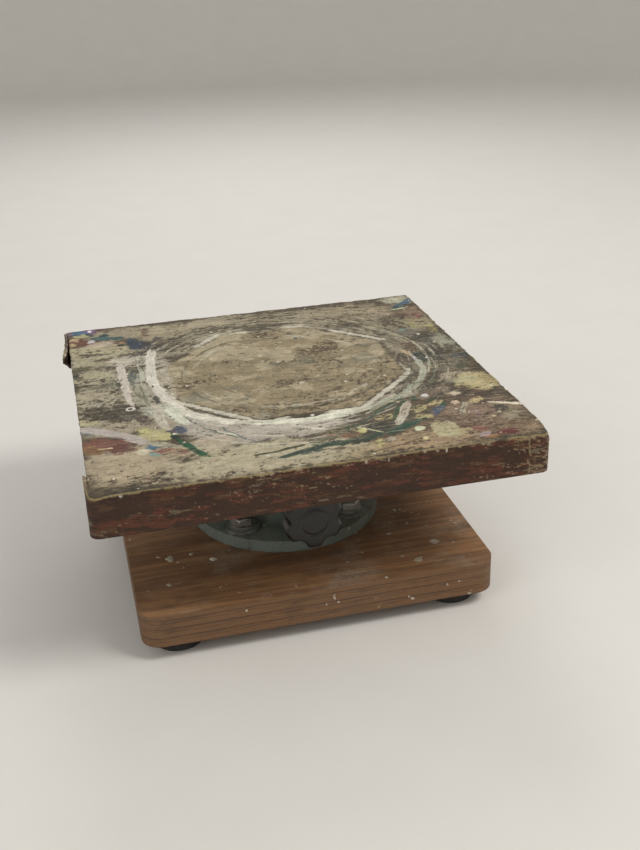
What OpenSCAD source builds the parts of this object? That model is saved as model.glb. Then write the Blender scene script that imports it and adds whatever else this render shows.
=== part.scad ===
// Bench turntable for sculpture: a square board on a cast head that spins on ball bearings
// over a cast pedestal, with a lock screw. Front is -Y. The origin is on the bench, under the spindle.

/* [Turntable board] */
// Side of the square top, edging included
board_side = 250; // [220:5:300]
// Thickness of the top board
board_thick = 24; // [18:1:30]
// Outside radius of the two front corners
front_corner_r = 5; // [4:1:14]
// Outside radius of the two back corners
back_corner_r = 3; // [3:1:6]

/* [Edging] */
// Thickness of the edging strip
band_thick = 2; // [1:0.5:2.5]
// Length of the sprung end at the back left
loose_len = 46; // [30:1:60]
// How far the sprung end stands out at its tip
loose_flare = 3; // [1:0.5:3]
// Length of edging left round the front left corner
front_stub = 26; // [15:1:60]

/* [Base] */
// Side of the square base board
base_side = 210; // [190:5:230]
// Thickness of the base board
base_thick = 20; // [18:1:25]
// Corner radius of the base board
base_corner_r = 12; // [6:1:20]
// Diameter of a rubber foot
foot_d = 30; // [26:1:36]
// Height of a rubber foot
foot_h = 10; // [8:1:14]
// Distance from the edge of the base to the middle of a foot
foot_inset = 22; // [20:1:30]

/* [Pedestal] */
// Height of the cast pedestal
pedestal_h = 50; // [50:1:60]
// Diameter of its foot flange
flange_d = 120; // [114:1:130]
// Thickness of its foot flange
flange_thick = 8; // [6:1:10]
// Diameter of its column
column_d = 60; // [56:1:66]
// Diameter of the circle of holding-down bolts
bolt_circle_d = 96; // [92:1:98]

/* [Head] */
// Diameter of the cast head plate
head_d = 150; // [140:1:180]
// Thickness of the head plate
head_thick = 6; // [5:1:8]
// Diameter of the hub under it
hub_d = 54; // [50:1:58]
// Height of the hub under the plate
hub_h = 8; // [8:1:12]
// Diameter of the circle of screws into the board
screw_circle_d = 124; // [116:1:128]

/* [Lock screw] */
// Diameter of the star knob
knob_d = 36; // [30:1:38]
// Length of the star knob
knob_len = 20; // [16:1:24]
// Free travel between the brake shoe and the spindle
shoe_gap = 1; // [0.5:0.1:1.5]

/* [Hidden] */
$fn = 64;
eps = 0.1;
fit = 0.05;
slack = 0.02;
// How far shapes that are one casting or one turning run into each other
overlap = 1;

// Heights, from the bench up
z_base = foot_h;
z_pedestal = z_base + base_thick;
z_rim = z_pedestal + pedestal_h;
thrust_proud = 2;
z_head = z_rim + thrust_proud;
z_plate = z_head + hub_h;
z_board = z_plate + head_thick;
z_top = z_board + board_thick;

// Slope on which the sprung end of the edging split: where it starts, and what is left at the tip
loose_root_len = 4;
loose_tip_h = 4;

// Spindle
spindle_r = 10;
journal_r = 7.5;
spindle_end_chamfer = 1;
pin_r = 2.5;
z_pin = z_head + hub_h / 2;

// Thrust ball bearing, 20 x 35 x 10
thrust_or = 17.5;
thrust_h = 10;
race_thick = 3;
thrust_ball_r = 2.75;
thrust_pitch_r = 13.75;
thrust_balls_n = 12;
z_thrust = z_head - thrust_h;
z_thrust_balls = z_thrust + thrust_h / 2;
ball_play = 0.1;

// Felt ring in a groove round the thrust bearing
seal_or = 24;
seal_ir = 20;
seal_groove_h = 1;

// Radial ball bearing, 15 x 35 x 11
radial_or = 17.5;
radial_w = 11;
radial_ball_r = 3;
radial_pitch_r = 12.5;
radial_balls_n = 8;
outer_ring_ir = 14.6;
inner_ring_or = 10.4;
cavity_r = 18.5;
z_radial = z_pedestal + 14;
z_radial_balls = z_radial + radial_w / 2;
circlip_thick = 1.5;
circlip_or = 18.9;
circlip_ir = 15.6;
passage_r = spindle_r + 2;

// Lock nut under the lower bearing
tab_thick = 1;
nut_r = 12.5;
nut_h = 5;
z_spindle_end = z_pedestal + 2;

// Lock screw, along -Y through a boss on the column
screw_r = 4;
shoe_len = 8;
boss_r = 10;
boss_end = 46;
knob_start = 66;
screw_end = knob_start + knob_len - 4;
insert_r = 7;
insert_depth = knob_len - 5;
z_lock = z_radial + radial_w + (z_thrust - z_radial - radial_w) / 2;
lobes = 6;

// Fasteners
bolt_r = 4;
bolt_head_af = 13;
bolt_head_h = 5.3;
washer_r = 8;
washer_thick = 1.6;
washer_play = 0.3;
spot_face_r = 11;
spot_face_h = 1.5;
nut_pocket_r = 10;
nut_pocket_h = 9;
bolt_nut_h = 6.5;
wood_screw_r = 2.5;
wood_screw_len = 16;
foot_screw_r = 2.2;
foot_screw_bite = 14;
foot_recess_r = 8;
foot_recess_h = 5;
foot_washer_r = 6.5;
foot_washer_thick = 1.2;
pan_head_r = 4.6;
pan_head_h = 2.8;

// Corner centres of a base-sized square of half width h
function corners(h) = [[h, h], [-h, h], [-h, -h], [h, -h]];
function hex_r(af) = af / 2 / cos(30);

// ---------- Shared shapes ----------

// Square outline with front corners of radius front_r and back corners of radius back_r
module board_outline(side, front_r, back_r) {
    h = side / 2;
    translate([-h, -h + front_r]) square([side, side - front_r - back_r]);
    translate([-h + front_r, -h]) square([side - 2 * front_r, front_r]);
    translate([-h + back_r, h - back_r]) square([side - 2 * back_r, back_r]);
    for (sx = [-1, 1]) {
        translate([sx * (h - front_r), -h + front_r]) circle(front_r);
        translate([sx * (h - back_r), h - back_r]) circle(back_r);
    }
}

module on_circle(n, d, first = 0) {
    for (i = [0 : n - 1]) {
        rotate(first + i * 360 / n) translate([d / 2, 0, 0]) children();
    }
}

module ring(outer_r, inner_r, h) {
    difference() {
        cylinder(r = outer_r, h = h);
        translate([0, 0, -eps]) cylinder(r = inner_r, h = h + 2 * eps);
    }
}

// Points along the lock screw's axis: y measured outwards from the spindle
module along_lock(y) {
    translate([0, -y, z_lock]) rotate([90, 0, 0]) children();
}

module on_base_bolts() {
    on_circle(4, bolt_circle_d, 45) children();
}

module on_feet() {
    for (c = corners(base_side / 2 - foot_inset)) {
        translate([c[0], c[1], 0]) children();
    }
}

// Slotted pan head with its flat side up at z = 0
module pan_head(r, h) {
    slot_w = 1.4;
    crown_h = h * 0.4;
    crown_r = r * 0.75;
    difference() {
        union() {
            translate([0, 0, crown_h - h]) cylinder(r = r, h = h - crown_h);
            translate([0, 0, -h]) cylinder(r1 = crown_r, r2 = r, h = crown_h);
        }
        translate([-r - eps, -slot_w / 2, -h - eps]) cube([2 * (r + eps), slot_w, crown_h + eps]);
    }
}

// ---------- Board ----------

module turntable_board() {
    core = board_side - 2 * band_thick;
    color("tan") difference() {
        translate([0, 0, z_board]) linear_extrude(board_thick)
            board_outline(core, front_corner_r - band_thick, back_corner_r - band_thick);
        on_circle(6, screw_circle_d, 30)
            translate([0, 0, z_board - eps]) cylinder(r = wood_screw_r + fit, h = wood_screw_len + 1);
    }
}

// The edging is glued round the back, right and front. On the left only two ends are left:
// a stub round the front corner, and a rear end that has come unglued and bows outwards.
module edge_band() {
    half = board_side / 2;
    inner = half - band_thick;
    bow_r = loose_len * loose_len / (2 * loose_flare);
    y_root = half - back_corner_r;
    y_stub = -half + front_stub;
    color("burlywood") difference() {
        translate([0, 0, z_board]) linear_extrude(board_thick) {
            difference() {
                board_outline(board_side, front_corner_r, back_corner_r);
                board_outline(2 * inner, front_corner_r - band_thick, back_corner_r - band_thick);
                translate([-half - overlap, y_stub]) square([band_thick + 2 * overlap, y_root - y_stub]);
            }
            intersection() {
                translate([-inner - bow_r, y_root]) difference() {
                    circle(bow_r, $fn = 1440);
                    circle(bow_r - band_thick, $fn = 1440);
                }
                translate([-half - 2 * loose_flare, y_root - loose_len])
                    square([band_thick + 2 * loose_flare + overlap, loose_len]);
            }
        }
        // the loose end split on a slope, and the part below it is gone
        translate([-half - 2 * loose_flare, 0, 0]) rotate([90, 0, 90]) linear_extrude(3 * loose_flare)
            polygon([
                [y_root - loose_len - overlap, z_board - eps], [y_root - loose_root_len, z_board - eps],
                [y_root - loose_len - overlap, z_top - loose_tip_h]
            ]);
    }
}

module board_screws() {
    color("silver") on_circle(6, screw_circle_d, 30) {
        translate([0, 0, z_plate]) pan_head(pan_head_r, pan_head_h);
        translate([0, 0, z_plate - pan_head_h / 2])
            cylinder(r = wood_screw_r, h = head_thick + wood_screw_len + pan_head_h / 2);
    }
}

// ---------- Head ----------

module head_flange() {
    rib_w = 5;
    rib_rise = 1;
    rib_reach = head_d / 2 - 4;
    screw_play = 0.2;
    fillet = 6;
    rim_h = 3;
    rim_w = 5;
    color("darkslategray") difference() {
        union() {
            translate([0, 0, z_head]) cylinder(d = hub_d, h = hub_h + head_thick);
            translate([0, 0, z_plate]) cylinder(d = head_d, h = head_thick, $fn = 128);
            translate([0, 0, z_plate - rim_h]) ring(head_d / 2, head_d / 2 - rim_w, rim_h + eps, $fn = 128);
            translate([0, 0, z_plate - fillet]) rotate_extrude() difference() {
                translate([hub_d / 2 - overlap, 0]) square([fillet + overlap, fillet + overlap]);
                translate([hub_d / 2 + fillet, 0]) circle(fillet);
            }
            for (i = [0 : 5]) {
                rotate(i * 60) translate([0, rib_w / 2, 0]) rotate([90, 0, 0]) linear_extrude(rib_w)
                    polygon([
                        [hub_d / 2 - overlap, z_head + rib_rise], [hub_d / 2 - overlap, z_plate + overlap],
                        [rib_reach, z_plate + overlap], [rib_reach, z_plate - rim_h]
                    ]);
            }
        }
        translate([0, 0, z_head - eps]) cylinder(r = spindle_r + slack, h = hub_h + head_thick + 2 * eps);
        on_circle(6, screw_circle_d, 30)
            translate([0, 0, z_plate - eps]) cylinder(r = wood_screw_r + screw_play, h = head_thick + 2 * eps);
        translate([-hub_d, 0, z_pin]) rotate([0, 90, 0]) cylinder(r = pin_r + slack, h = 2 * hub_d, $fn = 32);
    }
}

module head_pin() {
    pin_len = hub_d - 1;
    color("gray") translate([-pin_len / 2, 0, z_pin]) rotate([0, 90, 0])
        ring(pin_r, pin_r / 2, pin_len, $fn = 32);
}

module spindle() {
    z_shoulder = z_radial + radial_w;
    below_board = 2;
    color("lightsteelblue") difference() {
        union() {
            translate([0, 0, z_shoulder]) cylinder(r = spindle_r, h = z_board - below_board - z_shoulder);
            translate([0, 0, z_spindle_end + spindle_end_chamfer])
                cylinder(r = journal_r - slack, h = z_shoulder - z_spindle_end);
            translate([0, 0, z_spindle_end])
                cylinder(r1 = journal_r - spindle_end_chamfer, r2 = journal_r - slack, h = spindle_end_chamfer);
        }
        translate([-hub_d, 0, z_pin]) rotate([0, 90, 0]) cylinder(r = pin_r + slack, h = 2 * hub_d, $fn = 32);
    }
}

// ---------- Thrust bearing and seal ----------

// Ring of the thrust bearing with its ball groove facing +Z, its back at z = 0
module thrust_race(bore_r, outer_r) {
    groove_play = 0.15;
    groove_r = thrust_ball_r + groove_play;
    ball_z = thrust_h / 2;
    groove_z = ball_z - thrust_ball_r - slack + groove_r;
    difference() {
        ring(outer_r, bore_r, race_thick);
        rotate_extrude() translate([thrust_pitch_r, groove_z]) circle(groove_r);
    }
}

// The lower ring is tight in the pedestal and clears the spindle; the upper one is the other way round
module thrust_lower_race() {
    bore_play = 0.5;
    color("silver") translate([0, 0, z_thrust]) thrust_race(spindle_r + bore_play, thrust_or - slack);
}

module thrust_upper_race() {
    rim_play = 0.3;
    color("silver") translate([0, 0, z_head]) mirror([0, 0, 1])
        thrust_race(spindle_r + slack, thrust_or - rim_play);
}

module thrust_balls() {
    color("white") on_circle(thrust_balls_n, 2 * thrust_pitch_r)
        translate([0, 0, z_thrust_balls]) sphere(thrust_ball_r, $fn = 32);
}

module thrust_cage() {
    cage_h = 2;
    cage_or = thrust_or - 0.6;
    cage_ir = spindle_r + 0.7;
    color("goldenrod") difference() {
        translate([0, 0, z_thrust_balls - cage_h / 2]) ring(cage_or, cage_ir, cage_h);
        on_circle(thrust_balls_n, 2 * thrust_pitch_r)
            translate([0, 0, z_thrust]) cylinder(r = thrust_ball_r + ball_play, h = thrust_h, $fn = 32);
    }
}

module felt_seal() {
    gap_under_hub = 0.2;
    color("gray") translate([0, 0, z_rim - seal_groove_h])
        ring(seal_or, seal_ir, seal_groove_h + thrust_proud - gap_under_hub);
}

// ---------- Lower bearing and its fixings ----------

// Ball groove that leaves slack between the ball and the ring, side +1 outside and -1 inside
module radial_groove(side) {
    shift = side * (ball_play - slack);
    rotate_extrude() translate([radial_pitch_r - shift, radial_w / 2]) circle(radial_ball_r + ball_play);
}

module radial_outer_ring() {
    color("silver") translate([0, 0, z_radial]) difference() {
        ring(radial_or - slack, outer_ring_ir, radial_w);
        radial_groove(1);
    }
}

module radial_inner_ring() {
    color("silver") translate([0, 0, z_radial]) difference() {
        ring(inner_ring_or, journal_r, radial_w);
        radial_groove(-1);
    }
}

module radial_balls() {
    color("white") on_circle(radial_balls_n, 2 * radial_pitch_r)
        translate([0, 0, z_radial_balls]) sphere(radial_ball_r, $fn = 32);
}

module radial_cage() {
    cage_h = 8;
    cage_half = 0.7;
    color("goldenrod") difference() {
        translate([0, 0, z_radial_balls - cage_h / 2])
            ring(radial_pitch_r + cage_half, radial_pitch_r - cage_half, cage_h);
        on_circle(radial_balls_n, 2 * radial_pitch_r)
            translate([0, 0, z_radial_balls]) sphere(radial_ball_r + ball_play, $fn = 32);
    }
}

module bearing_circlip() {
    gap = 9;
    ear_r = 2.4;
    ear_hole_r = 1.1;
    ear_x = circlip_ir + 0.8 - ear_r;
    ear_y = gap / 2 - 0.4 + ear_r;
    color("dimgray") translate([0, 0, z_radial - circlip_thick]) linear_extrude(circlip_thick - slack)
        difference() {
            union() {
                difference() {
                    circle(circlip_or);
                    circle(circlip_ir);
                    translate([0, -gap / 2]) square([circlip_or + overlap, gap]);
                }
                for (s = [-1, 1]) translate([ear_x, s * ear_y]) circle(ear_r);
            }
            for (s = [-1, 1]) translate([ear_x, s * ear_y]) circle(ear_hole_r, $fn = 24);
        }
}

module tab_washer() {
    tabs_n = 9;
    tab_w = 3.5;
    tab_reach = 12.8;
    washer_body_r = 11;
    color("silver") translate([0, 0, z_radial - tab_thick]) linear_extrude(tab_thick - slack)
        difference() {
            union() {
                circle(washer_body_r);
                for (i = [0 : tabs_n - 1]) {
                    rotate(i * 360 / tabs_n) translate([0, -tab_w / 2]) square([tab_reach, tab_w]);
                }
            }
            circle(journal_r + slack);
        }
}

module spindle_nut() {
    slot_w = 4;
    slot_depth = 2;
    color("gray") translate([0, 0, z_radial - tab_thick - nut_h]) linear_extrude(nut_h - slack)
        difference() {
            circle(nut_r);
            circle(journal_r + slack);
            for (i = [0 : 3]) rotate(i * 90) translate([nut_r - slot_depth, -slot_w / 2]) square([slot_depth + overlap, slot_w]);
        }
}

// ---------- Pedestal ----------

module pedestal() {
    column_r = column_d / 2;
    fillet = 12;
    rib_w = 6;
    z_flange = z_pedestal + flange_thick;
    rib_reach = flange_d / 2 - 3;
    rib_toe_h = 2;
    rib_top = z_rim - 8;
    boss_root = column_r - 8;
    web_end = boss_end - 2;
    hole_play = 0.4;
    color("darkslategray") difference() {
        union() {
            translate([0, 0, z_pedestal]) cylinder(d = flange_d, h = flange_thick, $fn = 128);
            translate([0, 0, z_pedestal]) cylinder(r = column_r, h = pedestal_h);
            translate([0, 0, z_flange]) rotate_extrude() difference() {
                translate([column_r - overlap, -overlap]) square([fillet + overlap, fillet + overlap]);
                translate([column_r + fillet, fillet]) circle(fillet);
            }
            for (a = [0, 90, 180]) {
                rotate(a) translate([0, rib_w / 2, 0]) rotate([90, 0, 0]) linear_extrude(rib_w)
                    polygon([
                        [column_r - overlap, z_flange - overlap], [rib_reach, z_flange - overlap],
                        [rib_reach, z_flange + rib_toe_h], [column_r, rib_top], [column_r - overlap, rib_top]
                    ]);
            }
            along_lock(boss_root) cylinder(r = boss_r, h = boss_end - boss_root);
            translate([-rib_w / 2, -web_end, z_flange - overlap])
                cube([rib_w, web_end - column_r + overlap, z_lock - z_flange]);
            on_base_bolts() translate([0, 0, z_flange - overlap])
                cylinder(r = spot_face_r, h = overlap + spot_face_h);
        }
        // thrust bearing recess, seal groove, spindle passage, lower bearing seat and cavity
        translate([0, 0, z_thrust]) cylinder(r = thrust_or, h = thrust_h);
        translate([0, 0, z_rim - seal_groove_h]) ring(seal_or + slack, seal_ir - slack, seal_groove_h + eps);
        translate([0, 0, z_pedestal]) cylinder(r = passage_r, h = pedestal_h);
        translate([0, 0, z_radial]) cylinder(r = radial_or, h = radial_w);
        translate([0, 0, z_radial - circlip_thick]) cylinder(r = circlip_or + slack, h = circlip_thick);
        translate([0, 0, z_pedestal - eps]) cylinder(r = cavity_r, h = z_radial - z_pedestal - circlip_thick + eps);
        along_lock(0) cylinder(r = screw_r + fit, h = boss_end + eps, $fn = 48);
        on_base_bolts() translate([0, 0, z_pedestal - eps])
            cylinder(r = bolt_r + hole_play, h = flange_thick + spot_face_h + 2 * eps);
    }
}

// ---------- Lock screw ----------

module brake_shoe() {
    color("gold") along_lock(spindle_r + shoe_gap + slack) cylinder(r = screw_r, h = shoe_len, $fn = 48);
}

module lock_screw() {
    start = spindle_r + shoe_gap + slack + shoe_len;
    tip = 1.5;
    tip_r = screw_r - 1.2;
    color("silver") along_lock(start) {
        cylinder(r1 = tip_r, r2 = screw_r, h = tip, $fn = 48);
        translate([0, 0, tip]) cylinder(r = screw_r, h = screw_end - start - tip, $fn = 48);
    }
}

// The brass insert ends short of the knob's closed face; its flange lies on the knob's neck
module knob_insert() {
    flange_h = 1;
    flange_r = insert_r + 1.5;
    color("gold") along_lock(knob_start - flange_h) difference() {
        union() {
            cylinder(r = insert_r, h = flange_h + insert_depth);
            cylinder(r = flange_r, h = flange_h);
        }
        translate([0, 0, -eps]) cylinder(r = screw_r + slack, h = knob_len, $fn = 48);
    }
}

module lock_knob() {
    neck = 5;
    neck_r = insert_r + 4;
    scallop_r = 5.5;
    scallop_at = knob_d / 2 + 2;
    edge = 2;
    color("black") along_lock(knob_start) difference() {
        union() {
            cylinder(r = neck_r, h = neck + overlap);
            translate([0, 0, neck]) cylinder(d1 = knob_d - 2 * edge, d2 = knob_d, h = edge);
            translate([0, 0, neck + edge]) cylinder(d = knob_d, h = knob_len - neck - 2 * edge);
            translate([0, 0, knob_len - edge]) cylinder(d1 = knob_d, d2 = knob_d - 2 * edge, h = edge);
        }
        for (i = [0 : lobes - 1]) {
            rotate(i * 360 / lobes) translate([scallop_at, 0, neck - eps])
                cylinder(r = scallop_r, h = knob_len, $fn = 48);
        }
        translate([0, 0, -eps]) cylinder(r = insert_r + slack, h = insert_depth + fit + eps);
        translate([0, 0, -eps])
            cylinder(r = screw_r + slack, h = screw_end - knob_start + fit + eps, $fn = 48);
    }
}

// ---------- Base ----------

module base_board() {
    hole_play = 0.2;
    color("peru") difference() {
        translate([0, 0, z_base]) linear_extrude(base_thick)
            board_outline(base_side, base_corner_r, base_corner_r);
        on_base_bolts() {
            translate([0, 0, z_base - eps]) cylinder(r = bolt_r + hole_play, h = base_thick + 2 * eps);
            translate([0, 0, z_base - eps]) cylinder(r = nut_pocket_r, h = nut_pocket_h + eps);
        }
        on_feet() translate([0, 0, z_base - eps])
            cylinder(r = foot_screw_r + fit, h = foot_screw_bite + 1, $fn = 32);
    }
}

module pedestal_bolts() {
    z_head_seat = z_pedestal + flange_thick + spot_face_h + washer_thick;
    above_bench_face = 1;
    z_end = z_base + above_bench_face;
    color("silver") on_base_bolts() {
        translate([0, 0, z_head_seat]) cylinder(r = hex_r(bolt_head_af), h = bolt_head_h, $fn = 6);
        translate([0, 0, z_end]) cylinder(r = bolt_r, h = z_head_seat - z_end + overlap);
    }
}

module bolt_washers() {
    color("silver") on_base_bolts() translate([0, 0, z_pedestal + flange_thick + spot_face_h])
        ring(washer_r, bolt_r + washer_play, washer_thick);
}

module nut_washers() {
    color("silver") on_base_bolts() translate([0, 0, z_base + nut_pocket_h - washer_thick])
        ring(washer_r, bolt_r + washer_play, washer_thick);
}

module pedestal_nuts() {
    color("silver") on_base_bolts()
        translate([0, 0, z_base + nut_pocket_h - washer_thick - bolt_nut_h]) difference() {
            cylinder(r = hex_r(bolt_head_af), h = bolt_nut_h, $fn = 6);
            translate([0, 0, -eps]) cylinder(r = bolt_r + slack, h = bolt_nut_h + 2 * eps);
        }
}

module rubber_feet() {
    edge = 1.5;
    top_d = foot_d - 4;
    color("dimgray") on_feet() difference() {
        union() {
            cylinder(d1 = foot_d - 2 * edge, d2 = foot_d, h = edge);
            translate([0, 0, edge]) cylinder(d1 = foot_d, d2 = top_d, h = foot_h - edge);
        }
        translate([0, 0, -eps]) cylinder(r = foot_recess_r, h = foot_recess_h + eps);
        cylinder(r = foot_screw_r + fit, h = foot_h + eps, $fn = 32);
    }
}

module foot_washers() {
    color("silver") on_feet() translate([0, 0, foot_recess_h - foot_washer_thick])
        ring(foot_washer_r, foot_screw_r + fit, foot_washer_thick, $fn = 32);
}

module foot_screws() {
    z_seat = foot_recess_h - foot_washer_thick;
    color("silver") on_feet() {
        translate([0, 0, z_seat]) pan_head(pan_head_r, pan_head_h);
        translate([0, 0, z_seat - pan_head_h / 2])
            cylinder(r = foot_screw_r, h = foot_h - z_seat + foot_screw_bite + pan_head_h / 2, $fn = 32);
    }
}

turntable_board();
edge_band();
board_screws();
head_flange();
head_pin();
spindle();
thrust_upper_race();
thrust_balls();
thrust_cage();
thrust_lower_race();
felt_seal();
pedestal();
radial_outer_ring();
radial_balls();
radial_cage();
radial_inner_ring();
bearing_circlip();
tab_washer();
spindle_nut();
brake_shoe();
lock_screw();
knob_insert();
lock_knob();
base_board();
pedestal_bolts();
bolt_washers();
nut_washers();
pedestal_nuts();
rubber_feet();
foot_washers();
foot_screws();
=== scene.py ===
"""Looks of the sculpting turntable: the crusted top, its edging, castings, knob and fasteners."""

import bpy
import numpy as np
from mathutils import Matrix, Vector


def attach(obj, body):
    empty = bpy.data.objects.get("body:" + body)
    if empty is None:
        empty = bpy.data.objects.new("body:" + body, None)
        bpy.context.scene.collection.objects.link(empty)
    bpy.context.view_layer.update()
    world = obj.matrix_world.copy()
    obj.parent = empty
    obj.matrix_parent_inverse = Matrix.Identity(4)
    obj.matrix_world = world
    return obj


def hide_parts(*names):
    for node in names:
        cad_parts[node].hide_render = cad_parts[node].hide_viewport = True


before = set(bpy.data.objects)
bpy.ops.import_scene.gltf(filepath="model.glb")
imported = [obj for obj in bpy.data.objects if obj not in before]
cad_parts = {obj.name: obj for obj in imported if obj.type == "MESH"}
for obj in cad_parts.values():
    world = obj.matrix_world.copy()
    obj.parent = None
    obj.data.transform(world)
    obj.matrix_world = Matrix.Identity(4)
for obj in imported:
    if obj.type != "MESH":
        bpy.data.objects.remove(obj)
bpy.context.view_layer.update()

# Lengths are in millimetres up to the point where a mesh is made
MM = 0.001
SIDE = 250.0
HALF = SIDE / 2
# Thickness of the edging, and half the side of the board inside it
BAND = 2.0
CORE_HALF = HALF - BAND
# Underside and face of the top
Z_BOARD = 96.0
Z_TOP = 120.0
# Radii of the top's upright corners
FRONT_R = 5.0
BACK_R = 3.0
# Distance between the points of the painted face
STEP = 0.5
# Height of the lock screw's axis
Z_LOCK = 63.5
M8_RADIUS = 4.0
M8_PITCH = 1.25
M8_DEPTH = 0.62
FULL = 2 * np.pi


# ---------- Noise and colour ----------


def smooth(t):
    t = np.clip(t, 0.0, 1.0)
    return t * t * (3.0 - 2.0 * t)


def value_noise(x, y, cell_x, cell_y, seed):
    """Smooth noise from -1 to 1, with cells of the given size in millimetres."""
    size = 256
    table = np.random.default_rng(seed).uniform(-1.0, 1.0, (size, size))
    fx = x / cell_x + 40.0
    fy = y / cell_y + 40.0
    ix = np.floor(fx).astype(int)
    iy = np.floor(fy).astype(int)
    tx = smooth(fx - ix)
    ty = smooth(fy - iy)
    x0, x1, y0, y1 = ix % size, (ix + 1) % size, iy % size, (iy + 1) % size
    low = table[x0, y0] * (1 - tx) + table[x1, y0] * tx
    high = table[x0, y1] * (1 - tx) + table[x1, y1] * tx
    return low * (1 - ty) + high * ty


def fractal(x, y, cell_x, cell_y, seed, octaves=4, gain=0.6):
    """Several sizes of noise, each half as large as the one before."""
    total, weight, norm = 0.0, 1.0, 0.0
    for i in range(octaves):
        total = total + weight * value_noise(x, y, cell_x / 2**i, cell_y / 2**i, seed + i)
        norm += weight**2
        weight *= gain
    return total / np.sqrt(norm) * 1.25


def line_noise(s, cell, seed, octaves=4):
    """Noise along a line."""
    return fractal(s, s * 0, cell, 1.0, seed, octaves)


def linear(rgb):
    """Screen colours from 0 to 255 as the linear colours that a shader takes."""
    c = np.array(rgb, float) / 255.0
    return np.where(c <= 0.04045, c / 12.92, ((c + 0.055) / 1.055) ** 2.4)


def line_place(x, y, points):
    """For each place, its distance from a line of points, how far it is to one side of the line and
    along it, and the line's length."""
    best, side, along = np.full(x.shape, 1e9), np.zeros(x.shape), np.zeros(x.shape)
    done = 0.0
    for p, q in zip(points, points[1:]):
        length = np.hypot(q[0] - p[0], q[1] - p[1])
        dx, dy = (q[0] - p[0]) / length, (q[1] - p[1]) / length
        t = np.clip((x - p[0]) * dx + (y - p[1]) * dy, 0.0, length)
        d = np.hypot(x - p[0] - t * dx, y - p[1] - t * dy)
        near = d < best
        best = np.where(near, d, best)
        side = np.where(near, (x - p[0]) * dy - (y - p[1]) * dx, side)
        along = np.where(near, done + t, along)
        done += length
    return best, side, along, done


def rounded(points):
    """Cuts the corners of a line of points twice, so that a stroke runs smoothly."""
    for _ in range(2):
        new = [points[0]]
        for p, q in zip(points, points[1:]):
            new.append((0.75 * p[0] + 0.25 * q[0], 0.75 * p[1] + 0.25 * q[1]))
            new.append((0.25 * p[0] + 0.75 * q[0], 0.25 * p[1] + 0.75 * q[1]))
        points = new + [points[-1]]
    return points


# ---------- The crust of paint ----------


# Middle of the plinth's place, from the left side and the back
PLINTH = (131.0, 114.0)


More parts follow.
